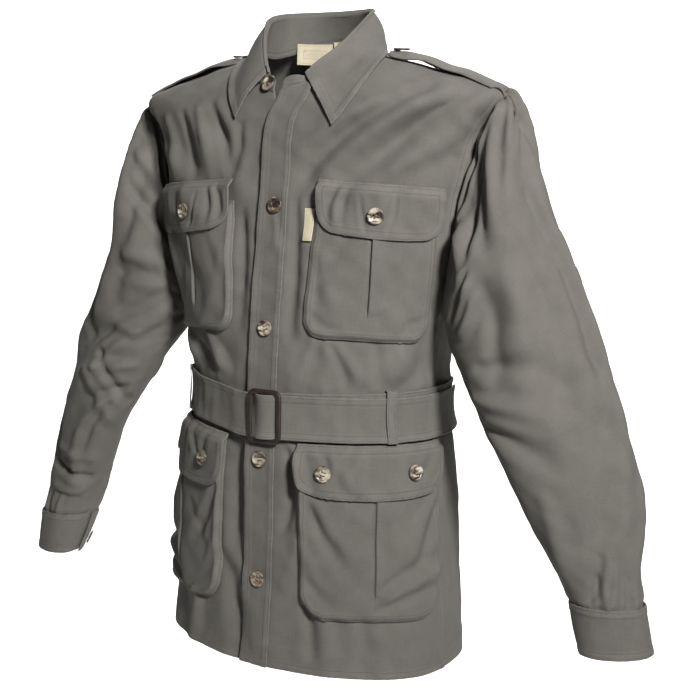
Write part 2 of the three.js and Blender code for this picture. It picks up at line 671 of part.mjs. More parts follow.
// The belt starts under the buckle's middle bar, runs once round the waist by the wearer's left,
// and its tail goes through the buckle and on over itself. across or turn: place, as a distance
// from the centre front or as degrees; face: its outer face over the panels; lift: above WAIST.
const BUCKLE = { x: 10, wide: 46, tall: 64, bar: 5, thick: 3, out: 11.2 };
const BELT_RING = ringAt(WAIST, 0);
const atX = (x) => THREE.MathUtils.radToDeg(angleAt(x, BELT_RING));
const BELT = table(['turn', 'face', 'lift'], [
  [atX(13), 7.8, 2],
  [atX(23), 7.8, 2],
  [atX(38), 5.4, 3],
  [atX(54), 3.3, 3],
  [60, 3.3, 6],
  [95, 3.3, 8],
  [140, 3.3, 10],
  [180, 3.3, 12],
  [230, 3.3, 14],
  [300, 3.3, 15],
  [360 + atX(-62), 3.3, 5],
  [360 + atX(-25), 8.8, 0],
  [360 + atX(-7), 8.8, 0],
  [360 + atX(5), 17.3, 0],
  [360 + atX(15), 17.3, 0],
  [360 + atX(25), 10.9, 0],
  [360 + atX(38), 8.8, 0],
  [360 + atX(54), 6.6, 0],
  [420, 6.5, 0],
  [455, 6.5, 1],
  [478, 6.5, 2],
]);

function beltAt(turn) {
  const i = clamp(BELT.findIndex((b) => b.turn >= turn), 1, BELT.length - 1);
  const [a, b] = [BELT[i - 1], BELT[i]];
  const t = clamp((turn - a.turn) / (b.turn - a.turn), 0, 1);
  return { face: lerp(a.face, b.face, smooth(t)), lift: lerp(a.lift, b.lift, t) };
}

function belt() {
  const turns = [];
  BELT.slice(1).forEach((b, i) => {
    const a = BELT[i];
    const parts = Math.max(1, Math.round((b.turn - a.turn) / 8));
    for (let k = 0; k < parts; k++) turns.push(lerp(a.turn, b.turn, k / parts));
  });
  turns.push(BELT.at(-1).turn);
  const columns = turns.map((turn) => {
    const { face, lift } = beltAt(turn);
    const phi = rad(turn);
    const middle = WAIST + lift;
    const wide = turn > 476 ? BELT_WIDE - 4 : BELT_WIDE;
    return [0.5, 0, -0.5].map((t) => {
      const z = middle + t * wide;
      const p = form(phi, BELT_RING).setZ(z);
      const n = outward(phi, BELT_RING).setZ(0).normalize();
      const slack = Math.max(0, form(phi, ringAt(z, phi)).sub(p).dot(n)) + 1.2 * t * t;
      return { p: p.addScaledVector(n, face + 0.8 + slack), n };
    });
  });
  const rows = steps(3, (i) => columns.map((column) => column[i]));
  return wall(rows, DOUBLE);
}

// A loop stands over the belt, from the panel above it to the panel below. face: its outer face;
// lift: its middle above WAIST; spread: how much taller than one layer the belt is there.
function beltLoop(turn, face, lift, spread = 0) {
  const half = (BELT_WIDE + spread) / 2;
  const foot = 1.2 + SEAM;
  const upper = [[3.6, foot], [2.9, (foot + face) / 2], [2.2, face - 0.6], [0, face], [-half, face + 0.3]];
  const path = [...upper, ...upper.slice(0, -1).reverse().map(([z, out]) => [-2 * half - z, out])];
  const points = path.map(([z, out]) => [-6, 0, 6].map((s) => {
    const phi = rad(turn) + s / 150;
    return skin(phi, ringAt(WAIST + lift + half + z, phi), out).p;
  }));
  const grid = withNormals(points);
  const out = outward(rad(turn), BELT_RING);
  if (grid[4][1].n.dot(out) < 0) grid.flat().forEach((g) => g.n.negate());
  return wall(grid, 1.2);
}

function buckle() {
  const { x, wide, tall, bar, thick, out } = BUCKLE;
  const box = (x0, x1, y0, y1, r, kind) => {
    const corners = [[x1 - r, y0 + r, -90], [x1 - r, y1 - r, 0], [x0 + r, y1 - r, 90], [x0 + r, y0 + r, 180]];
    return new kind(corners.flatMap(([cx, cy, from]) => [0, 30, 60, 90].map((a) =>
      new THREE.Vector2(cx + r * Math.cos(rad(from + a)), cy + r * Math.sin(rad(from + a))))));
  };
  const frame = box(-wide / 2, wide / 2, -tall / 2, tall / 2, 6, THREE.Shape);
  frame.holes.push(box(-wide / 2 + bar, -2, -tall / 2 + bar, tall / 2 - bar, 1, THREE.Path));
  frame.holes.push(box(2, wide / 2 - bar, -tall / 2 + bar, tall / 2 - bar, 1, THREE.Path));
  const shape = new THREE.ExtrudeGeometry(frame, { depth: thick, bevelEnabled: false });
  const { p } = skin(angleAt(x, BELT_RING), BELT_RING);
  return shape.rotateX(Math.PI / 2).translate(x, p.y - out - 0.8, WAIST);
}

// An epaulette lies along the shoulder from the armhole toward the collar, arched between.
function epauletteGrid() {
  const rows = table(['ring', 'half', 'arch'], [
    [12.06, 23, -1.1],
    [12.2, 23, 0.5],
    [12.45, 22, 6],
    [12.75, 21, 10],
    [13.05, 20, 13],
    [13.35, 19, 11],
    [13.5, 18, 9],
    [13.6, 9, 8],
  ]);
  const grid = rows.map(({ ring, half, arch }) => [-1, -0.6, 0, 0.6, 1].map((s) => {
    return skin(angleBeforeRidge(s * half - 3, ring), ring, DOUBLE + SEAM + 0.2 + arch * (1 - 0.7 * s * s));
  }));
  return grid;
}

// Bare labels hang inside the back of the neck from the seam; a bare tab shows beside a pocket.
function label(x, wide, tall) {
  const grid = [0, 0.33, 0.67, 1].map((t) => [-0.5, -0.17, 0.17, 0.5].map((s) => {
    const top = form(Math.PI - angleAt(x + s * wide, NECK), NECK - 0.06);
    const { phi, u } = nearest(top.add(vec(0, 0.5 * t * tall, -t * tall)));
    return skin(phi, u, -(CLOTH + LAY));
  }));
  return wall(grid, 0.8);
}

function tab() {
  const grid = [0, 0.5, 1].map((t) => [0, 1].map((s) => skinAt(44 + 12 * s, -190 - 38 * t, LAY + 1.4)));
  return wall(grid, 1);
}

const FRONT_BUTTONS = [-187, -333, -490, -638];
const HIP_BUTTONS = [84, 188];

function button(name, place, gap) {
  add(name, seated(buttonShape(), place, gap), 'horn');
}

function placeTrim() {
  for (const [name, side] of [['left', 1], ['right', -1]]) {
    const both = (spec) => ({ ...spec, middle: side * spec.middle });
    add('chest_pocket_' + name, wall(patch(both(CHEST_POCKET))));
    add('chest_flap_' + name, wall(patch(both(CHEST_FLAP)), DOUBLE));
    add('hip_pocket_' + name, wall(patch(both(HIP_POCKET))));
    const { up, tilt } = side < 0 ? RIGHT_FLAP : { up: 0, tilt: 0 };
    const hipFlap = { ...HIP_FLAP, top: HIP_FLAP.top + up, tall: HIP_FLAP.tall + up, tilt };
    add('hip_flap_' + name, wall(patch(both(hipFlap)), DOUBLE));
    add('epaulette_' + name, wall(mirrored(epauletteGrid(), side), DOUBLE));
    button('chest_button_' + name, skinAt(side * 134, -197, CHEST_FLAP.base + CHEST_FLAP.over), 0.6);
    HIP_BUTTONS.forEach((distance, i) => {
      const place = skinAt(side * distance, -500, flapFace(HIP_FLAP, distance));
      button(`hip_button_${name}_${i + 1}`, place, 0.6);
    });
    const shoulder = skin(Math.PI / 2, 13.42, DOUBLE + SEAM + 10.9);
    button('epaulette_button_' + name, flip(shoulder, side), 0.6);
    const arm = sleeveGrid();
    button('sleeve_button_' + name, flip(arm[8][1], side), 0.6);
    const wrist = cuffGrid();
    button('cuff_button_' + name, flip(wrist[2][2], side), 0.6);
  }
  const stand = standGrid();
  button('front_button_1', stand[1][2], 0.7);
  FRONT_BUTTONS.forEach((z, i) => {
    const place = skin(rad(0.5), ringAt(z, 0), PLACKET_OUT);
    button('front_button_' + (i + 2), place, 0.6);
  });
  add('placket', placket());
  add('belt', belt());
  add('buckle', buckle(), 'leather');
  add('belt_loop_left', beltLoop(58.5, 10.2, 3, 6));
  add('belt_loop_right', beltLoop(-58.5, 6.8, 15));
  add('belt_loop_back', beltLoop(180, 7, 12));
  add('neck_label', label(-43, 50, 26), 'label');
  add('size_tag', label(-9, 12, 12), 'label');
  add('pocket_tab', tab(), 'label');
}

add('front_left', front(1));
add('front_right', front(-1));
add('back', back());
add('yoke', yoke());
for (const [name, side] of [['left', 1], ['right', -1]]) {
  add('sleeve_' + name, wall(mirrored(sleeveGrid(), side), CLOTH, true));
  add('cuff_' + name, wall(mirrored(cuffGrid(), side), DOUBLE));
}
add('collar_leaf', wall(leafGrid(), DOUBLE));
add('collar_stand', wall(standGrid(), DOUBLE));

placeTrim();

export default jacket;
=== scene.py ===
import json

import bmesh
import bpy
import numpy as np
from mathutils import Matrix, Vector

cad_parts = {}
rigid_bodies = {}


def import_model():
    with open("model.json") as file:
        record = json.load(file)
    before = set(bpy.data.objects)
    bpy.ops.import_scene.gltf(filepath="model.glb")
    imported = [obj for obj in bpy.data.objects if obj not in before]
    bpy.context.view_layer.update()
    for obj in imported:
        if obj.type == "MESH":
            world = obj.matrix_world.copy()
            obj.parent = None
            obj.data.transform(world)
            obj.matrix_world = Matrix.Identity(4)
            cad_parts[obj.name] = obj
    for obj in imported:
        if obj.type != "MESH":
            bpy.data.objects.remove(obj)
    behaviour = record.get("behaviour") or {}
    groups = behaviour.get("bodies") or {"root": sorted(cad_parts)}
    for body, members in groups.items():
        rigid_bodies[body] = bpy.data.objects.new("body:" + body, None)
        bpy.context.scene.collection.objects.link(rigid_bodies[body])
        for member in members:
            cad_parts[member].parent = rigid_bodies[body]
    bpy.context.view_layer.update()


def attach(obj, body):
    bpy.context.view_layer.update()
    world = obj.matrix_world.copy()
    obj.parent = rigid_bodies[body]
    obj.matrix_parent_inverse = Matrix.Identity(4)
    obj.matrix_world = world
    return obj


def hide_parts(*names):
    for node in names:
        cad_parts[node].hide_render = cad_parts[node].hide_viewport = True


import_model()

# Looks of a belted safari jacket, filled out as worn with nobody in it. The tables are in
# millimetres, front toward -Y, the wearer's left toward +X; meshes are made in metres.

MM = 0.001
CLOTH = 1.3
DOUBLE = 2.2
LAY = 0.6
WAIST = -437
BELT_WIDE = 52
ARM_STEPS = 28
ARMHOLE_FRONT = np.radians(12)
ARMHOLE_BACK = np.radians(36)
YOKE_FRONT_STEPS = 2
YOKE_BACK_STEPS = 4
FRONT_EDGE = 20
HEM_SLANT = 8
HEM_DEEP = 25
PLACKET_WIDE = 40
ARMPIT = 8
SHOULDER_TIP = 12
NECK = 14
ARM_MID = (ARMPIT + SHOULDER_TIP) / 2
ARM_TALL = (SHOULDER_TIP - ARMPIT) / 2
LEFT_OVER = 2.3
ON_PANEL = 2.65
PLACKET_OUT = LEFT_OVER + LAY + 1.6
SHOULDER_FRONT_AT_NECK = 23
EDGE_ROW = 1.8
SECOND_ROW = 8.0
FOLD_GAIN = 1.45
VIEW_AZIMUTH = 30.1
SIDES = (("left", 1), ("right", -1))


def table(names, *lines):
    """A table with named columns: one array for each name."""
    return dict(zip(names.split(), np.array(lines, float).T))


def curve(values, i, t):
    """A smooth curve through rows of values, a share t of the way from row i to the next."""
    last = len(values) - 1
    a, b, c, d = (values[np.clip(i + k, 0, last)] for k in (-1, 0, 1, 2))
    return b + 0.5 * t * (c - a + t * (2 * a - 5 * b + 4 * c - d + t * (3 * (b - c) + d - a)))


def along(rows, name, u):
    """One column of a table as a smooth curve, at row numbers that may lie between rows."""
    i = np.clip(np.floor(u).astype(int), 0, len(rows[name]) - 2)
    return curve(rows[name], i, np.clip(u - i, 0, 1))


def smooth(x):
    x = np.clip(x, 0, 1)
    return x * x * (3 - 2 * x)


def lerp(a, b, t):
    return a + (b - a) * t


def unit(v):
    return v / np.maximum(np.linalg.norm(v, axis=-1, keepdims=True), 1e-9)


def spread(count, size, near=0.7):
    """Shares from 0 to 1, with one more just inside each end, where a piece turns its edge."""
    return np.unique(np.concatenate([np.linspace(0, 1, count), [near / size, 1 - near / size]]))


# The body's form: rings from hem to neck.
BODY = table(
    "side wide front back frontUp backUp square backSquare",
    [-741, 192, 131, 166, -2, 0, 2.1, 2.5],
    [-690, 190, 127, 168, -2, 0, 2.1, 2.5],
    [-620, 186, 123, 166, 0, 0, 2.1, 2.5],
    [-550, 181, 122, 164, 0, 0, 2.1, 2.5],
    [-490, 174, 122, 156, 0, 0, 2.05, 2.5],
    [-437, 165, 119, 150, 0, 0, 2.05, 2.5],
    [-390, 166, 118, 152, 0, 0, 2.05, 2.5],
    [-345, 171, 115, 158, 0, 0, 2.1, 2.5],
    [-292, 181, 110, 154, 0, 0, 2.2, 2.4],
    [-225, 204, 103, 146, 0, 0, 2.3, 2.4],
    [-150, 219, 96, 135, -8, -12, 2.35, 2.35],
    [-95, 230, 92, 122, -14, -25, 2.35, 2.35],
    [-50, 251, 89, 106, -29, -38, 2.35, 2.35],
    [-22, 160, 87, 87, -43, -14, 2.25, 2.25],
    [0, 77, 85, 66, -52, 20, 2.1, 2.1],
)

# Soft folds. x, z to x2, z2: the line that one runs along; bow: how far its middle swings aside;
# wide: its reach; deep: height, negative for a trough. Each has a shallow answer on one side.
FOLD_NAMES = "x z x2 z2 bow wide deep"
FRONT_FOLDS = table(
    FOLD_NAMES,
    [196, -120, 60, -300, 12, 16, 2.6],
    [205, -175, 95, -350, 8, 14, -3.0],
    [181, -50, 38, -150, -14, 11, -5.6],
    [150, -58, 34, -122, -8, 10, 3.0],
    [204, -50, 71, -146, -5, 13, 4.6],
    [227, -54, 92, -150, 0, 12, -5.8],
    [218, -88, 118, -166, 2, 12, 3.4],
    [150, -95, 35, -190, 8, 12, 1.4],
    [30, -182, 33, -340, 2, 7, -4.2],
    [3, -199, 9, -236, 1, 4, 1.6],
    [52, -200, 49, -330, 2, 8, 2.0],
    [175, -330, 120, -395, 5, 16, 3.0],
    [60, -360, 95, -405, 3, 14, -2.2],
    [173, -330, 162, -398, 2, 8, -4.6],
    [188, -322, 177, -400, 2, 7, 3.8],
    [150, -350, 149, -402, 2, 7, 3.0],
    [83, -352, 102, -402, 3, 6, -2.8],
    [130, -348, 128, -402, 2, 6, -2.4],
    [62, -335, 40, -402, 3, 7, 2.2],
    [-190, -120, -75, -250, 8, 16, 3.2],
    [-205, -180, -110, -300, 8, 14, -2.8],
    [-130, -95, -50, -170, 5, 14, 2.4],
    [-160, -330, -130, -400, 5, 15, 2.8],
    [-226, -78, -206, -150, 3, 8, -4.4],
    [-186, -82, -170, -152, 3, 9, 3.4],
    [-156, -76, -134, -150, 3, 8, -3.6],
    [-128, -72, -104, -150, 3, 8, 3.2],
    [-108, -66, -74, -140, 4, 8, -4.6],
    [-58, -92, -68, -150, 3, 7, -3.4],
    [-47, -200, -42, -330, 3, 8, -4.0],
    [-120, -362, -80, -398, 3, 7, -3.4],
    [-100, -346, -58, -398, 3, 7, 3.0],
    [-150, -348, -120, -400, 3, 7, 3.2],
    [150, -560, 40, -700, 10, 15, -2.4],
    [45, -490, 50, -640, 4, 12, 2.0],
    [33, -472, 33, -570, 12, 6, -5.4],
    [52, -478, 60, -566, 3, 7, 3.4],
    [63, -664, 73, -722, 3, 7, -3.4],
    [86, -672, 92, -738, 3, 9, 2.6],
    [128, -676, 132, -740, 3, 9, -2.8],
    [-60, -500, -52, -690, 4, 14, 2.4],
    [-34, -480, -38, -600, 3, 9, -3.6],
    [-54, -620, -24, -722, 4, 13, -4.6],
    [-100, -670, -112, -736, 3, 9, 3.0],
    [-150, -640, -130, -736, 4, 15, -3.0],
    [160, -650, 175, -736, 4, 16, 3.0],
    [222, -95, 150, -140, 6, 8, 1.4],
    [212, -130, 190, -260, 5, 8, -3.4],
    [200, -230, 178, -330, 4, 9, 2.6],
    [58, -560, 34, -640, 2, 7, 1.4],
    [172, -500, 178, -620, 3, 9, -1.6],
    [-175, -500, -172, -640, 3, 9, 1.6],
    [-178, -230, -168, -330, 4, 9, 2.4],
)
BACK_FOLDS = table(
    FOLD_NAMES,
    [60, -300, 95, -405, 6, 20, 5.0],
    [-50, -290, -90, -400, 6, 20, 5.0],
    [5, -330, 10, -410, 3, 17, 4.0],
    [150, -200, 60, -300, 10, 18, 4.0],
    [-150, -190, -70, -290, 10, 18, 4.0],
    [90, -490, 110, -690, 6, 22, 4.5],
    [-80, -490, -105, -700, 6, 22, 4.5],
    [10, -490, 5, -680, 4, 20, -4.0],
    [185, -150, 110, -215, 6, 10, -2.0],
    [-186, -160, -120, -230, 6, 10, -2.2],
    [130, -330, 140, -405, 3, 10, 2.4],
    [-132, -320, -128, -402, 3, 10, 2.2],
    [32, -360, 45, -408, 2, 9, 1.8],
    [-26, -350, -34, -408, 2, 9, 1.6],
    [50, -480, 58, -600, 3, 11, 2.0],
    [-40, -482, -52, -570, 3, 10, 1.8],
    [150, -500, 158, -650, 4, 12, -2.4],
    [-148, -500, -160, -660, 4, 12, 2.4],
    [20, -140, -40, -250, 8, 13, 1.6],
    [90, -120, 110, -200, 5, 12, 1.5],
)
YOKE_FOLD_NAMES = "x y x2 y2 bow wide deep"
YOKE_FOLDS = table(
    YOKE_FOLD_NAMES,
    [70, -20, 190, -40, 5, 10, 1.6],
    [75, 5, 215, 30, 6, 12, -1.6],
    [60, 55, 170, 70, 8, 14, 1.8],
    [-70, -18, -190, -38, 5, 10, 1.5],
    [-72, 8, -212, 28, 6, 12, -1.6],
    [-55, 60, -165, 75, 8, 14, 1.7],
)

# Gathers where the belt draws the cloth in: angle round the body in degrees, reach in degrees,
# height above and below the belt.
GATHERS = table(
    "turn wide above below",
    [18, 3.2, 1.6, 1.1],
    [27, 2.6, -1.3, -0.7],
    [36, 3.4, 1.8, 0.9],
    [47, 2.8, -1.5, 1.0],
    [59, 3.6, 1.9, -0.9],
    [71, 3.0, -1.6, 1.4],
    [83, 3.4, 2.2, 1.2],
    [97, 3.2, -1.8, -1.4],
    [112, 3.8, 2.2, 1.8],
    [128, 3.2, -1.4, 1.2],
    [143, 3.8, 2.0, 2.0],
    [161, 3.2, 1.6, -1.2],
    [176, 3.4, -1.2, 1.6],
    [192, 3.6, 2.0, 1.8],
    [210, 3.0, 1.2, -1.2],
    [226, 3.6, -1.8, 1.8],
    [243, 3.2, 2.0, 1.4],
    [261, 3.4, 1.4, 1.6],
    [278, 3.0, -1.6, -1.0],
    [296, 3.6, 2.0, 1.2],
    [311, 2.8, -1.4, 0.9],
    [326, 3.2, 1.7, 1.0],
    [340, 2.6, 1.0, -0.8],
)


def ridge(aside, past, reach):
    """A fold's height beside it and past its ends, with its shallow answer on one side."""
    peak = np.exp(-(aside**2 + past**2) / reach**2)
    answer = np.exp(-((aside - 1.7 * reach) ** 2 + past**2) / reach**2)
    return peak - 0.35 * answer


def folded(folds, names, a, b):
    """Height of a table's folds at flat places (a, b); each fold dies out toward its ends."""
    total = np.zeros(np.broadcast(a, b).shape)
    for a1, b1, a2, b2, bow, wide, deep in zip(*(folds[name] for name in names.split())):
        run = np.hypot(a2 - a1, b2 - b1)
        t = ((a - a1) * (a2 - a1) + (b - b1) * (b2 - b1)) / run**2
        held = np.clip(t, 0, 1)
        aside = ((b - b1) * (a2 - a1) - (a - a1) * (b2 - b1)) / run - bow * 4 * held * (1 - held)
        past = (t - held) * run
        reach = wide * (0.75 + 0.5 * held)
        total += deep * (0.45 + 0.55 * np.sin(np.pi * (0.1 + 0.8 * held))) * ridge(aside, past, reach)
    return total


# How much higher the belt's middle lies toward the wearer's right.
BELT_RISE = table("turn up", [0, 0], [60, 4], [140, 10], [230, 14], [300, 15], [345, 3], [360, 0])


def above_belt(p):
    """Height above the belt's middle, and degrees round."""
    turn = np.degrees(np.arctan2(p[..., 0], -p[..., 1])) % 360
    return p[..., 2] - WAIST - np.interp(turn, BELT_RISE["turn"], BELT_RISE["up"]), turn


def gathered(p):
    """Height of the belt's gathers, which fade away above and below it."""
    rise, turn = above_belt(p)
    gone = np.abs(rise) - BELT_WIDE / 2
    fade = smooth((gone + 6) / 16) * np.exp(-np.clip(gone, 0, None) / 34)
    total = np.zeros(turn.shape)
    for middle, wide, above, below in zip(*(GATHERS[n] for n in "turn wide above below".split())):
        total += np.where(rise > 0, above, below) * np.exp(-(((turn - middle) / wide) ** 2))
    return total * fade


def relief(p):
    """How far the folded cloth stands out of the body's smooth form at points on it."""
    x, y, z = p[..., 0], p[..., 1], p[..., 2]
    calm = smooth((np.abs(above_belt(p)[0]) - BELT_WIDE / 2 - 1) / 24)
    ahead = folded(FRONT_FOLDS, FOLD_NAMES, x, z)
    behind = folded(BACK_FOLDS, FOLD_NAMES, x, z)
    sides = np.where(y < 0, ahead, behind) * calm * smooth(np.abs(y) / 40)
    top = folded(YOKE_FOLDS, YOKE_FOLD_NAMES, x, y) * smooth((z + 75) / 30)
    return FOLD_GAIN * (sides + top + gathered(p)) + 0.35 * grain(x, y, z)


def grain(x, y, z):
    """A slight unevenness of worn cloth, from a few crossed waves."""
    return (
        np.sin(0.11 * x + 0.043 * z + 1.7 * np.sin(0.031 * z + 0.4))
        + np.sin(0.087 * z - 0.05 * x + 1.3 * np.sin(0.041 * x + 0.02 * y))
        + 0.7 * np.sin(0.19 * z + 0.13 * x + 0.11 * y)
    )


def form(phi, u):
    """The body's smooth form at angles round it (0 front, 90 degrees the wearer's left) and rings."""
    phi, u = np.broadcast_arrays(np.asarray(phi, float), np.asarray(u, float))
    s, c = np.sin(phi), np.cos(phi)
    ahead = c > 0
    e = 2 / np.where(ahead, along(BODY, "square", u), along(BODY, "backSquare", u))
    deep = np.where(ahead, along(BODY, "front", u), along(BODY, "back", u))
    up = np.where(ahead, along(BODY, "frontUp", u), along(BODY, "backUp", u))
    sunk = HEM_SLANT * s * np.clip(1 - u / 3, 0, 1)
    x = along(BODY, "wide", u) * np.sign(s) * np.abs(s) ** e
    y = -deep * np.sign(c) * np.abs(c) ** e
    return np.stack([x, y, along(BODY, "side", u) + up * c * c - sunk], -1)


def outward(phi, u):
    around = form(phi + 0.03, u) - form(phi - 0.03, u)
    up = form(phi, np.minimum(u + 0.05, NECK)) - form(phi, np.maximum(u - 0.05, 0))
    return unit(np.cross(around, up))


def skin(phi, u, out=0.0):
    """Points of the cloth's outer face, moved out, and the outward directions there."""
    phi, u = np.broadcast_arrays(np.asarray(phi, float), np.asarray(u, float))
    p = form(phi, u)
    n = outward(phi, u)
    return p + n * (relief(p) + out)[..., None], n


def angle_at(x, u):
    part = np.minimum(np.abs(x) / along(BODY, "wide", u), 1)
    return np.sign(x) * np.arcsin(part ** (along(BODY, "square", u) / 2))


def angle_before_ridge(y, u):
    ahead = y > 0
    deep = np.where(ahead, along(BODY, "front", u), along(BODY, "back", u))
    square = np.where(ahead, along(BODY, "square", u), along(BODY, "backSquare", u))
    part = np.minimum(np.abs(y) / deep, 1) ** (square / 2)
    return np.pi / 2 - np.sign(y) * np.arcsin(part)


def ring_at(z, phi):
    """The ring whose height is z at an angle."""
    z, phi = np.broadcast_arrays(np.asarray(z, float), np.asarray(phi, float))
    low, high = np.zeros(z.shape), np.full(z.shape, float(NECK))
    for _ in range(22):
        middle = (low + high) / 2
        under = form(phi, middle)[..., 2] < z
        low, high = np.where(under, middle, low), np.where(under, high, middle)
    return (low + high) / 2


TAPE_RINGS, TAPE_TURNS = 140, 180


def make_tape():
    """Tape distances from the centre front, for each ring and angle."""
    rings = np.linspace(0, NECK, TAPE_RINGS + 1)[:, None]
    points = form(np.linspace(0, np.pi, TAPE_TURNS + 1)[None], rings)
    hops = np.linalg.norm(np.diff(points, axis=1), axis=-1)
    return np.concatenate([np.zeros((TAPE_RINGS + 1, 1)), np.cumsum(hops, axis=1)], axis=1)


TAPE = make_tape()


def tape(phi, u):
    i = np.clip(u / NECK * TAPE_RINGS, 0, TAPE_RINGS - 1e-6)
    j = np.clip(phi / np.pi * TAPE_TURNS, 0, TAPE_TURNS - 1e-6)
    i0, j0 = i.astype(int), j.astype(int)
    fi, fj = i - i0, j - j0
    low = lerp(TAPE[i0, j0], TAPE[i0, j0 + 1], fj)
    return lerp(low, lerp(TAPE[i0 + 1, j0], TAPE[i0 + 1, j0 + 1], fj), fi)


def spot(distance, z):
    """Angle and ring at tape distances from the centre front (wearer's left positive) and heights."""
    distance, z = np.broadcast_arrays(np.asarray(distance, float), np.asarray(z, float))
    way = np.where(distance < 0, -1.0, 1.0)
    phi = np.abs(distance) / 150
    for _ in range(3):
        u = ring_at(z, way * phi)
        low, high = np.zeros(phi.shape), np.full(phi.shape, np.pi)
        for _ in range(20):
            middle = (low + high) / 2
            short = tape(middle, u) < np.abs(distance)
            low, high = np.where(short, middle, low), np.where(short, high, middle)
        phi = (low + high) / 2
    return way * phi, ring_at(z, way * phi)


def skin_at(distance, z, out=0.0):
    phi, u = spot(distance, z)
    return skin(phi, u, out)


# Meshes from grids.
def lengths(points, axis):
    """Running lengths of a grid along one axis, in millimetres."""
    hops = np.linalg.norm(np.diff(points, axis=axis), axis=-1)
    start = np.zeros_like(np.take(hops, [0], axis=axis))
    return np.concatenate([start, np.cumsum(hops, axis=axis)], axis=axis)


def grid_normals(points, like, ring=False):
    """Normals of a grid, on the same side as the rough directions `like`."""
    if ring:
        around = np.roll(points, -1, axis=1) - np.roll(points, 1, axis=1)
    else:
        around = np.gradient(points, axis=1)
    n = unit(np.cross(around, np.gradient(points, axis=0)))
    return n * np.sign(np.sum(n * like, axis=-1, keepdims=True) + 1e-9)


def ripple(s, seed):
    """An uneven wave along a seam, about 9 mm from crest to crest."""
    slow = 0.6 + 0.4 * np.sin(0.031 * s + 1.9 * seed)
    return slow * (
        np.sin(0.71 * s + seed)
        + 0.7 * np.sin(0.43 * s + 2.1 * seed + 0.8 * np.sin(0.09 * s + seed))
        + 0.5 * np.sin(1.13 * s + 3.7 * seed)
    ) / 2.2


def border_distances(points, borders, ring=False):
    """Distance of each grid point to the nearest named border, and the place along it."""
    down, across = lengths(points, 0), lengths(points, 1)
    found = {
        "top": (down, across),
        "bottom": (down[-1:] - down, across),
        "start": (across, down),
        "end": (across[:, -1:] - across, down),
    }
    near = np.full(points.shape[:2], 500.0)
    place = np.zeros(points.shape[:2])
    for border in borders.split():
        far, where = found[border]
        nearer = far < near
        near, place = np.where(nearer, far, near), np.where(nearer, where, place)
    return near, place


def puckered(points, normals, seams, seed, deep=0.45, reach=8.0):
    """Draws the cloth up in small waves beside its sewn borders."""
    near, place = border_distances(points, seams)
    height = deep * np.exp(-((near / reach) ** 2)) * ripple(place, seed) * smooth(near / 1.5 + 0.35)
    return points + normals * height[..., None], near


def mesh_object(name, vertices, faces, material, uvs=None):
    """A mesh object in metres from points in millimetres."""
    mesh = bpy.data.meshes.new(name)
    mesh.from_pydata((np.asarray(vertices) * MM).tolist(), [], [tuple(f) for f in faces])
    if uvs is not None:
        layer = mesh.uv_layers.new(name="UVMap")
        layer.data.foreach_set("uv", np.asarray(uvs, np.float32).ravel())
    mesh.polygons.foreach_set("use_smooth", [True] * len(mesh.polygons))
    mesh.materials.append(material)
    mesh.update()
    piece = bpy.data.objects.new(name, mesh)
    bpy.context.scene.collection.objects.link(piece)
    return piece


def rim(loop, toward, outer, inner, normals, start, thick):
    """A turned edge: one more line of points outside a border, and the faces on its two sides."""
    away = unit(outer[loop] - toward)
    middle = (outer[loop] + inner[loop]) / 2 + away * thick * 0.35
    ids = start + np.arange(len(loop))
    following, next_ids = np.roll(loop, -1), np.roll(ids, -1)
    upper = np.stack([loop, ids, next_ids, following], -1)
    lower = np.stack([ids, loop + len(outer), following + len(outer), next_ids], -1)
    facing = np.cross(middle[0] - outer[loop[0]], outer[loop[1]] - outer[loop[0]])
    if np.dot(facing, normals[loop[0]]) < 0:
        upper, lower = upper[:, ::-1], lower[:, ::-1]
    return middle, [upper, lower]


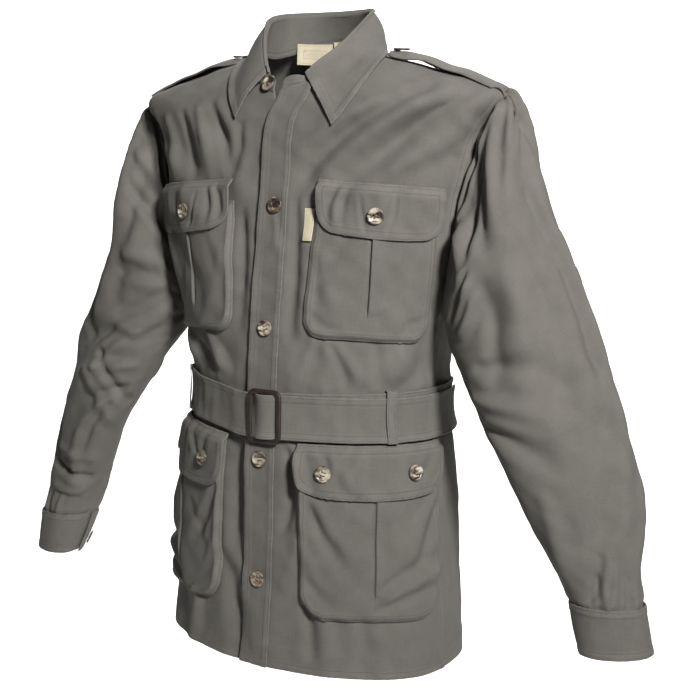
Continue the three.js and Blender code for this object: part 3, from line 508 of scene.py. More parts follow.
def shell(name, points, like, material, thick, ring, near):
    """A closed cloth wall from a grid of outer points, with a turned rim and a flat-cloth UV map.
    near: each point's distance to the seams, for the cloth's wear, its stitch grooves and the painted shade
    in them."""
    rows, cols = points.shape[:2]
    normals = grid_normals(points, like, ring).reshape(-1, 3)
    outer = points.reshape(-1, 3)
    inner = outer - normals * thick
    wide = cols + 1 if ring else cols
    closed_points = np.concatenate([points, points[:, :1]], axis=1) if ring else points
    across, down = lengths(closed_points, 1), lengths(closed_points, 0)
    fallen = np.broadcast_to(down.mean(1)[:, None], down.shape)
    flat = np.stack([across - across[:, -1:] / 2, fallen], -1).reshape(-1, 2) * MM
    i, j = np.meshgrid(np.arange(rows - 1), np.arange(wide - 1), indexing="ij")
    corners = [(i, j), (i, j + 1), (i + 1, j + 1), (i + 1, j)]
    quads = np.stack([(a * cols + b % cols).ravel() for a, b in corners], -1)
    spots = np.stack([(a * wide + b).ravel() for a, b in corners], -1)
    k = len(quads) // 2
    facing = np.cross(outer[quads[k, 1]] - outer[quads[k, 0]], outer[quads[k, 3]] - outer[quads[k, 0]])
    if np.dot(facing, normals[quads[k, 0]]) < 0:
        quads, spots = quads[:, ::-1], spots[:, ::-1]
    vertices = [outer, inner]
    faces = [quads, quads[:, ::-1] + len(outer)]
    places = [spots, spots[:, ::-1]]
    first, last = np.arange(cols), (rows - 1) * cols + np.arange(cols)
    if ring:
        loops = [(first, outer[first + cols]), (last, outer[last - cols])]
    else:
        right, left = np.arange(rows) * cols + cols - 1, np.arange(rows) * cols
        loop = np.concatenate([first[:-1], right[:-1], last[:0:-1], left[:0:-1]])
        toward = points[np.clip(loop // cols, 1, rows - 2), np.clip(loop % cols, 1, cols - 2)]
        loops = [(loop, toward)]
    seam = [near.ravel(), near.ravel()]
    for loop, toward in loops:
        start = sum(len(v) for v in vertices)
        middle, rims = rim(loop, toward, outer, inner, normals, start, thick)
        vertices.append(middle)
        faces += rims
        here = (loop // cols) * wide + loop % cols
        places += [np.repeat(here[:, None], 4, 1)] * 2
        seam.append(near.ravel()[loop])
    uv = flat[np.concatenate(places).ravel()]
    piece = mesh_object(name, np.concatenate(vertices), np.concatenate(faces), material, uv)
    layer = piece.data.attributes.new("seam", "FLOAT", "POINT")
    layer.data.foreach_set("value", np.concatenate(seam).astype(np.float32))
    return piece


def border_line(points, border, inset, part=slice(None)):
    """The line that runs inside one border of a grid at a distance from it."""
    if border in ("top", "bottom"):
        points = points.swapaxes(0, 1)
    if border in ("end", "bottom"):
        points = points[:, ::-1]
    points = points[part]
    run = lengths(points, 1)
    i = np.arange(len(points))
    k = np.clip(np.sum(run < inset, axis=1) - 1, 0, points.shape[1] - 2)
    t = (inset - run[i, k]) / (run[i, k + 1] - run[i, k])
    return lerp(points[i, k], points[i, k + 1], t[:, None])


def lengthened(points, border, by):
    """Moves one border of a grid on in its own direction."""
    points = points.copy()
    grid = points.swapaxes(0, 1) if border in ("top", "bottom") else points
    if border in ("end", "bottom"):
        grid = grid[:, ::-1]
    grid[:, 0] += unit(grid[:, 0] - grid[:, 1]) * np.reshape(by, (-1, 1))
    return points


def lapped(points, normals, over=(), under=()):
    """Thickens borders that lap over a neighbour, and sinks and lengthens those that run under one."""
    for border, share, deep in over:
        far = border_distances(points, border)[0]
        points = points + normals * (0.8 * share * (1 - smooth((far - deep) / 2.5)))[..., None]
    for border, share in under:
        far = border_distances(points, border)[0]
        points = points - normals * (1.4 * share * (1 - smooth(far / 7)))[..., None]
        points = lengthened(points, border, 6.0 * np.ravel(share))
    return points


THREADS = {}


def note(group, line):
    THREADS.setdefault(group, []).append(line)


def sew(group, points, normals, rows):
    """Notes lines of thread on a grid: rows of (border, distance inside it, part of the border)."""
    raised = points + normals * 0.1
    for border, inset, part in rows:
        note(group, border_line(raised, border, inset, part))


WHOLE = slice(None)


def both_rows(border, part=WHOLE):
    return [(border, EDGE_ROW, part), (border, SECOND_ROW, part)]


# The panels of the body.
def armhole_spot(k):
    """Angle and ring of armhole samples: 0 at the shoulder tip, counted toward the front."""
    psi = np.asarray(k, float) / ARM_STEPS * 2 * np.pi
    reach = np.where(np.sin(psi) > 0, ARMHOLE_FRONT, ARMHOLE_BACK)
    return np.pi / 2 - reach * np.sin(psi), ARM_MID + ARM_TALL * np.cos(psi)


def front_edge(side, u):
    """Where a front's own edge runs, to the side of the centre: past it, then parted at the neck."""
    return -FRONT_EDGE + smooth((u - 10.9) / 3.1) * (19 if side > 0 else 32)


def overlap_lift(x):
    """How far the left front stands out where it crosses the right one."""
    return LEFT_OVER * (1 - smooth((x - 24) / 30))


def front_far(t):
    """A front's far edge: to 1 up the side seam, to 2 round the armhole, to 3 up the shoulder."""
    arm_phi, arm_u = armhole_spot(lerp(ARM_STEPS / 2, YOKE_FRONT_STEPS, np.clip(t - 1, 0, 1)))
    corner_phi, corner_u = armhole_spot(YOKE_FRONT_STEPS)
    top_phi = angle_before_ridge(SHOULDER_FRONT_AT_NECK, NECK)
    s = np.clip(t - 2, 0, 1)
    phi = np.where(t < 1, np.pi / 2, np.where(t < 2, arm_phi, lerp(corner_phi, top_phi, s)))
    u = np.where(t < 1, ARMPIT * t, np.where(t < 2, arm_u, lerp(corner_u, NECK, s)))
    return phi, u


FRONT_ROWS = np.concatenate([spread(118, 530), 1 + np.linspace(0, 1, 64)[1:], 2 + np.linspace(0, 1, 26)[1:]])


def front_panel(side):
    t = FRONT_ROWS[:, None]
    far, u = front_far(t)
    start = front_edge(side, u)
    strip = angle_at(start + 2 * FRONT_EDGE * np.linspace(0, 1, 11)[None], u)
    rest = lerp(strip[:, -1:], far, spread(72, 300)[None, 2:])
    phi = np.concatenate([strip, rest], axis=1)
    lift = overlap_lift(form(phi, u)[..., 0]) if side > 0 else 0.0
    points, normals = skin(side * phi, u, lift)
    shoulder = smooth((t - 2) / 0.06)
    points = lapped(points, normals, over=[("end", 1 - shoulder, 8.5), ("top", 1, HEM_DEEP)],
                    under=[("end", shoulder)])
    points, near = puckered(points, normals, "end top", 1.0 + side)
    sewn = slice(0, int(np.searchsorted(FRONT_ROWS, 2)))
    sew("body", points, normals, both_rows("end", sewn) + [("top", HEM_DEEP - 1.5, WHOLE)])
    return points, normals, near


def back_far(t):
    arm_phi, arm_u = armhole_spot(-lerp(ARM_STEPS / 2, YOKE_BACK_STEPS, np.clip(t - 1, 0, 1)))
    return np.where(t < 1, np.pi / 2, arm_phi), np.where(t < 1, ARMPIT * t, arm_u)


def back_panel():
    rows = np.concatenate([spread(112, 530), 1 + np.linspace(0, 1, 52)[1:]])
    t = rows[:, None]
    near_phi, u = back_far(t)
    phi = lerp(near_phi, 2 * np.pi - near_phi, spread(132, 560)[None])
    points, normals = skin(phi, u)
    arms = smooth((t - 1) / 0.05)
    points = lapped(points, normals, over=[("start", arms, 8.5), ("end", arms, 8.5), ("top", 1, HEM_DEEP)],
                    under=[("start", 1 - arms), ("end", 1 - arms), ("bottom", 1)])
    points, near = puckered(points, normals, "start end top", 4.2)
    arm_part = slice(int(np.searchsorted(rows, 1)), None)
    sew("body", points, normals,
        both_rows("start", arm_part) + both_rows("end", arm_part) + [("top", HEM_DEEP - 1.5, WHOLE)])
    return points, normals, near


def both_halves(v):
    """A row of samples from the middle outward, with its mirror image before it."""
    return np.concatenate([v[:0:-1], v])[None]


def yoke_panel():
    across = np.concatenate([8 * np.linspace(0, 1, 46)[:-1], 8 + 6 * np.linspace(0, 1, 46)])
    corner_phi, corner_u = armhole_spot(-YOKE_BACK_STEPS)
    arm_phi, arm_u = armhole_spot(-YOKE_BACK_STEPS + np.clip(across - 8, 0, None))
    outer_phi = np.where(across < 8, lerp(np.pi, corner_phi, across / 8), arm_phi)
    outer_u = np.where(across < 8, corner_u, arm_u)
    inner_phi = lerp(np.pi, angle_before_ridge(SHOULDER_FRONT_AT_NECK, NECK), across / 14)
    side = np.concatenate([-np.ones(len(across) - 1), np.ones(len(across))])
    share = spread(44, 150)[:, None]
    phi = side[None] * lerp(both_halves(outer_phi), both_halves(inner_phi), share)
    u = lerp(both_halves(outer_u), NECK, share)
    points, normals = skin(phi, u, 0.5)
    points = lapped(points, normals, over=[("top", 1, 8.5), ("start", 1, 8.5), ("end", 1, 8.5)])
    points, near = puckered(points, normals, "top start end", 2.6, deep=0.7)
    sew("body", points, normals, both_rows("top") + both_rows("start") + both_rows("end"))
    return points, normals, near


# Sleeve sections from shoulder to wrist, for the wearer's left arm: outer and inner points, half
# the depth across them, and how far the middle bulges outward.
SECTION_NAMES = "outX outY outZ inX inY inZ deep bulge"
SLEEVE = table(
    SECTION_NAMES,
    [251, 0, -50, 181, 0, -292, 55, 0],
    [266, 1, -57, 183, -3, -297, 57, 2],
    [280, 3, -84, 185, -8, -309, 60, 3],
    [291, 7, -128, 190, -14, -326, 62, 3],
    [303, 26, -184, 199, -24, -346, 63, 2],
    [325, 37, -245, 214, -34, -366, 62, 0],
    [351, 43, -310, 233, -45, -392, 57, 0],
    [378, 37, -368, 250, -50, -420, 52, 0],
    [394, 36, -420, 267, -53, -450, 47, 0],
    [414, 32, -472, 289, -54, -484, 42, 0],
    [426, 28, -520, 308, -48, -524, 39, 0],
    [429, 22, -562, 328, -41, -562, 39, 0],
    [431, 16, -600, 350, -35, -600, 39, 0],
    [437, 12, -628, 363, -34, -627, 38, 0],
)
CUFF = table(
    SECTION_NAMES,
    [437.3, 12, -628.5, 363.3, -34, -627.5, 38, 0],
    [441, 11, -645, 367, -36, -644, 37, 0],
    [446, 9, -665, 373, -38, -664, 34, 0],
    [450, 8, -683, 380, -40, -683, 30, 0],
)

# Folds of a sleeve: round is counted from the outer side toward the front, in degrees; run is the
# share of the sleeve's length.
SLEEVE_FOLD_NAMES = "round run round2 run2 bow wide deep"
SLEEVE_FOLDS = table(
    SLEEVE_FOLD_NAMES,
    [10, 0.02, 50, 0.34, 10, 14, -4.5],
    [35, 0.02, 75, 0.3, 8, 13, 3.5],
    [75, 0.04, 105, 0.36, 8, 13, -4.5],
    [115, 0.1, 85, 0.42, 8, 13, 4.0],
    [-20, 0.05, -45, 0.4, 8, 14, -4.0],
    [-70, 0.05, -60, 0.3, 8, 14, 3.5],
    [140, 0.42, 80, 0.52, 8, 12, -5.0],
    [165, 0.5, 95, 0.6, 8, 13, 4.5],
    [170, 0.58, 110, 0.67, 6, 12, -4.5],
    [60, 0.5, 25, 0.66, 6, 14, 3.5],
    [-100, 0.55, -60, 0.64, 6, 13, 3.5],
    [60, 0.7, 95, 0.84, 5, 11, -3.5],
    [130, 0.74, 150, 0.9, 5, 11, 3.0],
    [15, 0.72, 40, 0.88, 5, 12, 3.0],
)
LEFT_SLEEVE_FOLDS = table(
    SLEEVE_FOLD_NAMES,
    [39, 0.03, 82, 0.25, -7, 11, 5.5],
    [50, 0.04, 116, 0.07, 2, 6, -6.5],
    [84, 0.11, 108, 0.2, 0, 8, -7.0],
    [104, 0.09, 116, 0.24, 2, 10, 6.5],
    [112, 0.23, 142, 0.25, 0, 6, -6.5],
    [118, 0.28, 140, 0.31, 2, 9, 5.0],
    [106, 0.28, 132, 0.46, 4, 10, -4.2],
    [90, 0.3, 112, 0.52, 4, 12, 3.2],
    [14, 0.01, 30, 0.12, 2, 6, -4.4],
    [28, 0.1, 4, 0.22, 4, 7, -5.0],
    [22, 0.02, 44, 0.14, 2, 8, 3.2],
    [0, 0.02, 8, 0.12, 2, 7, 2.8],
    [36, 0.26, 52, 0.62, 5, 9, -3.8],
    [24, 0.34, 42, 0.7, 5, 10, 3.2],
    [70, 0.3, 78, 0.56, 4, 12, -2.2],
    [88, 0.86, 122, 0.97, 3, 5, -4.0],
    [74, 0.88, 96, 1.0, 2, 5, 2.8],
    [100, 0.9, 112, 1.0, 1, 4, -2.6],
    [60, 0.9, 66, 1.0, 2, 4.5, -2.4],
    [40, 0.86, 50, 1.0, 2, 5, 2.4],
    [-20, 0.84, -6, 1.0, 3, 7, -2.6],
    [-60, 0.82, -46, 1.0, 3, 7, 2.6],
    [-100, 0.84, -94, 1.0, 3, 7, -2.4],
    [-140, 0.84, -146, 1.0, 3, 7, 2.4],
    [-40, 0.02, -30, 0.18, 3, 7, 2.4],
    [-90, 0.04, -100, 0.2, 4, 8, -3.0],
    [-60, 0.34, -120, 0.42, 4, 9, -3.2],
    [-80, 0.5, -130, 0.56, 4, 9, -3.0],
    [-30, 0.42, -60, 0.52, 4, 9, 2.8],
)
RIGHT_SLEEVE_FOLDS = table(
    SLEEVE_FOLD_NAMES,
    [60, 0.13, 102, 0.05, 2, 9, 3.8],
    [72, 0.18, 114, 0.09, 2, 8, -5.4],
    [50, 0.03, 110, 0.05, 2, 6, -4.5],
    [96, 0.27, 130, 0.15, 2, 8, 3.2],
    [100, 0.31, 130, 0.2, 2, 7, -3.6],
    [104, 0.49, 150, 0.19, 5, 8, -4.6],
    [122, 0.54, 160, 0.26, 5, 9, 4.0],
    [66, 0.4, 92, 0.5, 3, 9, -3.0],
    [119, 0.5, 192, 0.63, 5, 8, -4.6],
    [110, 0.56, 180, 0.69, 5, 9, 3.6],
    [159, 0.64, 137, 0.79, 4, 8, -4.2],
    [84, 0.78, 160, 0.8, 3, 8, 3.4],
    [84, 0.83, 170, 0.86, 3, 6, -5.6],
    [100, 0.89, 160, 0.9, 3, 6, 3.0],
    [60, 0.84, 72, 1.0, 3, 6, -3.2],
    [96, 0.92, 104, 1.0, 2, 5, -2.8],
    [128, 0.92, 134, 1.0, 2, 5, 2.4],
    [20, 0.04, 40, 0.18, 3, 8, -3.4],
    [0, 0.5, 30, 0.66, 4, 9, -3.4],
    [-20, 0.84, -6, 1.0, 3, 7, -2.6],
    [-60, 0.82, -46, 1.0, 3, 7, 2.6],
    [-100, 0.84, -94, 1.0, 3, 7, -2.4],
    [-140, 0.84, -146, 1.0, 3, 7, 2.4],
    [-90, 0.04, -100, 0.2, 4, 8, -3.0],
    [-60, 0.34, -120, 0.42, 4, 9, -3.2],
    [-80, 0.5, -130, 0.56, 4, 9, 3.0],
)
SLEEVE_LONG = 620


def section(rows, u, psi):
    outer = np.stack([along(rows, name, u) for name in ("outX", "outY", "outZ")], -1)
    inner = np.stack([along(rows, name, u) for name in ("inX", "inY", "inZ")], -1)
    axis = (outer - inner) / 2
    flat = np.zeros(axis.shape[:-1])
    level = unit(np.stack([axis[..., 1], -axis[..., 0], flat], -1)) * along(rows, "deep", u)[..., None]
    bulge = (along(rows, "bulge", u) * (1 - np.cos(2 * psi)) / 2)[..., None]
    bow = unit(np.stack([np.abs(level[..., 1]), level[..., 0], flat], -1)) * bulge
    turned = axis * np.cos(psi)[..., None] + level * np.sin(psi)[..., None]
    return (outer + inner) / 2 + turned + bow


def wrapped(angle):
    """An angle brought within half a turn of zero."""
    return np.arctan2(np.sin(angle), np.cos(angle))


def sleeve_relief(psi, run, side):
    """Height of a sleeve's folds at angles round it and shares of its length."""
    own = LEFT_SLEEVE_FOLDS if side > 0 else RIGHT_SLEEVE_FOLDS
    columns = [np.concatenate([SLEEVE_FOLDS[n], own[n]]) for n in SLEEVE_FOLD_NAMES.split()]
    total = np.zeros(np.broadcast(psi, run).shape)
    radius = lerp(95, 45, run)
    for r1, l1, r2, l2, bow, wide, deep in zip(*columns):
        dr, dl = wrapped(np.radians(r2 - r1)) * radius, (l2 - l1) * SLEEVE_LONG
        pr, pl = wrapped(psi - np.radians(r1)) * radius, (run - l1) * SLEEVE_LONG
        size = np.hypot(dr, dl)
        t = (pr * dr + pl * dl) / size**2
        held = np.clip(t, 0, 1)
        aside = (pl * dr - pr * dl) / size - bow * 4 * held * (1 - held)
        past = (t - held) * size
        reach = wide * (0.8 + 0.4 * held)
        total += deep * (0.5 + 0.5 * np.sin(np.pi * (0.15 + 0.7 * held))) * ridge(aside, past, reach)
    return FOLD_GAIN * total * smooth(run / 0.03) * smooth((1.04 - run) / 0.06)


def sleeve_grid(side, rows=176, cols=104):
    psi = np.linspace(0, 2 * np.pi, cols, endpoint=False)[None]
    run = spread(rows, SLEEVE_LONG)[:, None] ** 1.08
    psi, run = np.broadcast_arrays(psi, run)
    u = run * (len(SLEEVE["deep"]) - 1)
    seam, _ = skin(*armhole_spot(psi / (2 * np.pi) * ARM_STEPS))
    leftover = seam - section(SLEEVE, np.zeros_like(u), psi)
    points = section(SLEEVE, u, psi) + leftover * (1 - smooth(u / 3.2))[..., None]
    like = points - points.mean(axis=1, keepdims=True)
    normals = grid_normals(points, like, ring=True)
    wrinkle = 0.3 * grain(1.2 * psi * 60, 0 * psi, run * SLEEVE_LONG)
    points = points + normals * (sleeve_relief(psi, run, side) + wrinkle)[..., None]
    points = lapped(points, normals, under=[("top", 1), ("bottom", 1)])
    down = run * SLEEVE_LONG
    place = psi * 70
    beside = 0.9 * np.exp(-((down / 9) ** 2)) * ripple(place, 5.1)
    gathers = 1.2 * np.exp(-(((SLEEVE_LONG - down) / 16) ** 2)) * ripple(0.8 * place, 2.3)
    ahead = np.exp(-(((psi - np.radians(88)) / np.radians(48)) ** 2))
    crease = 6.0 * np.exp(-(((down - 33) / 14) ** 2)) - 9.0 * np.exp(-(((down - 7) / 8) ** 2))
    points = points + normals * (beside + gathers + ahead * crease * smooth(down / 2))[..., None]
    return points, normals, np.minimum(down, SLEEVE_LONG - down) + 30


CUFF_EDGE = np.radians(-150)
CUFF_LAP = np.radians(38)


def cuff_grid(rows=24, cols=130):
    turn = spread(cols, 260)[None] * (2 * np.pi + CUFF_LAP)
    share = spread(rows, 56)[:, None]
    turn, share = np.broadcast_arrays(turn, share)
    psi = CUFF_EDGE + turn
    points = section(CUFF, share * (len(CUFF["deep"]) - 1), psi)
    like = points - section(CUFF, share * 3, psi + np.pi)
    normals = grid_normals(points, like)
    under = smooth((turn - 2 * np.pi + np.radians(50)) / np.radians(46))
    soft = 0.5 * ripple(turn * 12, 3.3) + 0.8 * np.sin(2.2 * turn + 3 * share)
    points = points + normals * (0.6 + soft * 0.6 - under * (DOUBLE + LAY + 0.6))[..., None]
    points = lapped(points, normals, over=[("top", 1, 7), ("bottom", 1, 7), ("start", 1, 7)])
    points, near = puckered(points, normals, "top bottom start", 6.1, deep=0.35)
    return points, normals, near


def mirrored(grid, side):
    return grid * np.array([side, 1, 1]) if side < 0 else grid


def refined(grid, rows, cols, near=0.7):
    """A finer grid through the points of a coarse one."""
    def finer(values, count):
        size = np.linalg.norm(np.diff(values, axis=0), axis=-1).sum(0).mean()
        at = spread(count, size, near) * (len(values) - 1)
        i = np.clip(np.floor(at).astype(int), 0, len(values) - 2)
        return curve(values, i, (at - i)[:, None, None])

    return finer(finer(grid, rows).swapaxes(0, 1), cols).swapaxes(0, 1)


def nearest(p):
    """The nearest places of the body's smooth form to points, and how far they stand out of it."""
    phi = np.arctan2(p[..., 0], -p[..., 1])
    u = np.clip(NECK - np.hypot(p[..., 0], p[..., 1]) / 60 + 1, 8, NECK)
    best = np.linalg.norm(form(phi, u) - p, axis=-1)
    dp, du = np.full(phi.shape, 0.3), np.full(phi.shape, 0.8)
    for _ in range(44):
        moved = np.zeros(phi.shape, bool)
        for a, b in ((1, 0), (-1, 0), (0, 1), (0, -1)):
            new_phi, new_u = phi + a * dp, np.clip(u + b * du, 6, NECK)
            far = np.linalg.norm(form(new_phi, new_u) - p, axis=-1)
            nearer = far < best
            phi, u = np.where(nearer, new_phi, phi), np.where(nearer, new_u, u)
            best = np.where(nearer, far, best)
            moved |= nearer
        dp, du = np.where(moved, dp, dp / 2), np.where(moved, du, du / 2)
    n = outward(phi, u)
    return phi, u, n, np.sum((p - form(phi, u)) * n, axis=-1)


# The collar from the middle of the back to the left front end.
COLLAR = table(
    "round foldX foldY foldZ rightUp rightIn edgeX edgeY edgeZ",
    [180, 0, 54, 54, 0, 0, 0, 74, 18],
    [155, 33, 50, 54, 0, 0, 40, 68, 14],
    [128, 58, 32, 52, 0, 0, 70, 42, 8],
    [102, 66, 3, 41, 6, 2, 91, 6, -6],
    [78, 64, -24, 22, 16, 8, 104, -28, -27],
    [55, 53, -50, -2, 18, 12, 101, -60, -52],
    [36, 40, -68, -18, 10, 12, 89, -83, -74],
    [20, 28, -79, -31, 2, 10, 74, -92, -92],
)
LEAF_COLS = 12
ROLL_TALL = 2.2
STAND_END_TALL = 15
STAND_UP = 1.4


def leaf_points():
    """A coarse grid of the collar's leaf: down from its fold, and across from right to left."""
    j = np.abs(np.arange(-LEAF_COLS, LEAF_COLS + 1))[None]
    side = np.where(np.arange(-LEAF_COLS, LEAF_COLS + 1) < 0, -1.0, 1.0)[None]
    t = (np.arange(6) / 5)[:, None]
    u = j / LEAF_COLS * (len(COLLAR["round"]) - 1)

    def at(name):
        return along(COLLAR, name, u)

    right = np.where(side < 0, 1.0, 0.0)
    fold = np.stack([at("foldX"), at("foldY"), at("foldZ") + right * at("rightUp")], -1)
    drawn_in = right * at("rightIn")
    edge = np.stack([at("edgeX") - drawn_in, at("edgeY"), at("edgeZ") + drawn_in], -1)
    away = unit(np.stack([fold[..., 0], fold[..., 1] + 15, np.full(u.shape, 22.0)], -1))
    p = lerp(fold, edge, t[..., None]) + away * (4 * np.sin(np.pi * t))[..., None]
    p[..., 0] *= side
    over_placket = 3.8 * (1 - smooth((np.abs(p[..., 0]) - 42) / 14))
    _, _, n, out = nearest(p)
    short = DOUBLE + 1.8 + over_placket + relief(p) - out
    lift = np.where((t > 0.1) & (short > 0), short, 0)
    return p + n * lift[..., None]


def leaf_grid():
    points = refined(leaf_points(), 40, 190)
    inward = unit(points[0] * np.array([-1.0, -1.0, 0]) + np.array([0, 8.0, 0]))
    turns = np.linspace(np.radians(170), 0, 7)[:-1, None, None]
    up = np.array([0, 0, 1.0])
    rolled = points[0] + inward * 2.9 * (1 - np.cos(turns)) - up * ROLL_TALL * (1 - np.sin(turns))
    rolled = rolled + up * ROLL_TALL
    sunk = rolled[:1] - np.array([0, 0, 3.4])
    points = np.concatenate([sunk, rolled, points[1:]])
    like = points + np.array([0, 20, 60])
    normals = grid_normals(points, like)
    inner_part = np.arange(len(points)) < 7
    leaning = grid_normals(points, np.broadcast_to(inward, points.shape))
    normals = np.where(inner_part[:, None, None], leaning, normals)
    down, across = lengths(points, 0), lengths(points, 1)
    roll = 0.9 * np.sin(0.021 * across + 0.05 * down) + 0.5 * np.sin(0.047 * across - 0.09 * down)
    points = points + normals * (roll * smooth(down / 18))[..., None]
    points = lapped(points, normals, over=[("start", 1, 7), ("end", 1, 7), ("bottom", 1, 7)])
    points, near = puckered(points, normals, "start end bottom", 0.7, deep=0.35)
    sew("collar", points, normals, [("start", 6.5, slice(4, -3)), ("end", 6.5, slice(4, -3)),
                                    ("bottom", 6.5, slice(8, -8))])
    return points, normals, near


def toward_neck(p):
    """Level directions from points to the neck's middle."""
    return unit(np.stack([-p[..., 0], -p[..., 1], 0 * p[..., 0]], -1))


def stand_grid():
    leaf = leaf_points()
    leaf_normals = grid_normals(leaf, leaf + np.array([0, 20, 60]))
    j = np.arange(-LEAF_COLS, LEAF_COLS + 1)
    side = np.where(j < 0, -1.0, 1.0)
    round_ = np.radians(along(COLLAR, "round", np.abs(j) / LEAF_COLS * (len(COLLAR["round"]) - 1)))
    foot, n = skin(side * round_, np.full(j.shape, float(NECK)))
    lift = np.where((side > 0) & (foot[..., 1] < -40), overlap_lift(foot[..., 0]), 0)
    foot = foot + n * lift[..., None] + np.array([0, 0, STAND_UP])
    under = leaf[0] - leaf_normals[0] * (DOUBLE + LAY + 0.4) + toward_neck(leaf[0])
    rows = [lerp(foot, under, t) for t in (0, 0.35, 0.7, 1)]
    ends = {}
    for way, column in ((-1, 0), (1, -1)):
        x = lerp(foot[column, 0], 0 if way > 0 else -13, np.array([0.4, 0.8, 1]))
        low, _ = skin(angle_at(x, np.full(3, float(NECK))), np.full(3, float(NECK)),
                      overlap_lift(x) if way > 0 else 0.0)
        low = low + np.array([0, 0, STAND_UP])
        tall = STAND_END_TALL * np.array([1, 1, 0.7])
        high = low + np.stack([0 * tall, np.full(3, 2.5), tall], -1)
        ends[way] = [lerp(low, high, t) for t in (0, 0.35, 0.7, 1)]
    points = np.array([np.concatenate([ends[-1][i][::-1], rows[i], ends[1][i]]) for i in range(4)])
    points = refined(points, 18, 190)
    like = points * np.array([1, 1, 0]) + np.array([0, 10, 0])
    normals = grid_normals(points, like)
    points = lengthened(points, "top", 3.2)
    points = lapped(points, normals, over=[("top", 1, 6)])
    points, near = puckered(points, normals, "top start end", 1.7, deep=0.3)
    sew("collar", points, normals, [("top", EDGE_ROW, WHOLE), ("top", 6.5, slice(150, None)),
                                    ("top", 6.5, slice(0, 30)), ("end", 2, slice(1, -1)),
                                    ("start", 2, slice(1, -1))])
    return points, normals, near


# Patches laid on the body: pockets and their flaps. middle is the tape distance from the centre
# front, top the height of the top; a patch is rounded at its lower corners.
CHEST_POCKET = dict(middle=133, top=-185, wide=148, tall=158, round=22, lean=-8, tilt=-0.03, rise=5,
                    base=ON_PANEL + 0.2, pleat=1.5)
CHEST_FLAP = dict(middle=136, top=-160, wide=148, tall=58, round=24, tilt=-0.05, sag=5, base=3.7, over=7.4)
HIP_POCKET = dict(middle=144, top=-471.5, wide=182, tall=206, round=32, lean=4, rise=7, base=ON_PANEL,
                  pleat=1.5, flat=0.5)
HIP_FLAP = dict(middle=143, top=-467.4, wide=186, tall=57, round=28, sag=7, base=3.7, over=9.8, flat=0.35)
RIGHT_FLAP = dict(up=9, tilt=0.08)

# Wrinkles of the patches, as folds in their own flat place: across from the middle, and down.
PATCH_NAMES = "x z x2 z2 bow wide deep"
CHEST_POCKET_WRINKLES = table(
    PATCH_NAMES,
    [-60, 60, -20, 148, 6, 9, 1.1],
    [62, 50, 30, 140, 6, 9, 1.2],
    [20, 70, 60, 150, 5, 8, -0.9],
    [-30, 40, -62, 120, 4, 8, -0.9],
    [-66, 130, -30, 150, 3, 6, -1.0],
    [66, 128, 36, 150, 3, 6, -1.0],
)
CHEST_FLAP_WRINKLES = table(
    PATCH_NAMES,
    [-21, 15, -13, 50, 2, 2.4, -1.8],
    [19, 13, 12, 49, -2, 2.4, -1.8],
    [-36, 10, -42, 46, 3, 5, -1.7],
    [-52, 10, -60, 42, 3, 5, -1.5],
    [-44, 8, -50, 48, 3, 5, 1.3],
    [36, 12, 44, 46, 3, 8, 1.2],
    [0, 30, 2, 6, 1, 7, 1.2],
)
HIP_POCKET_WRINKLES = table(
    PATCH_NAMES,
    [-84, 60, -42, 128, 4, 7, -2.8],
    [-72, 62, -26, 130, 4, 8, 2.0],
    [-86, 110, -50, 186, 5, 8, 1.6],
    [8, 166, 78, 134, -6, 8, -3.0],
    [14, 180, 84, 152, -5, 7, 2.4],
    [2, 192, 84, 172, -4, 5, -2.4],
    [86, 66, 60, 150, 5, 8, -2.8],
    [74, 60, 36, 150, 6, 10, 2.2],
    [84, 110, 44, 192, 6, 9, 1.6],
    [-30, 90, -66, 160, 5, 9, -1.6],
    [-78, 160, -30, 196, 4, 8, -2.0],
    [20, 70, 24, 130, 2, 8, 1.4],
)
HIP_FLAP_WRINKLES = table(
    PATCH_NAMES,
    [-54, 30, -66, 4, 3, 5, -2.0],
    [-44, 32, -28, 4, 3, 5, -1.8],
    [-36, 30, -14, 46, 4, 7, 1.6],
    [-8, 6, -4, 46, 2, 5, -1.4],
    [44, 32, 30, 4, 4, 6, -1.8],
    [54, 34, 70, 8, 4, 6, -1.6],
    [60, 40, 84, 44, 3, 6, 1.4],
    [20, 6, 18, 44, 2, 6, 1.4],
)


def patch_inside(spec, a, fall):
    """Distance inside a patch's sides and rounded foot, at places across from the middle and down."""
    r, half, tall = spec["round"], spec["wide"] / 2, spec["tall"]
    over, past = np.abs(a) - (half - r), fall - (tall - r)
    corner = r - np.hypot(over, past)
    straight = np.minimum(half - np.abs(a), tall - fall)
    return np.where((over > 0) & (past > 0), corner, straight)


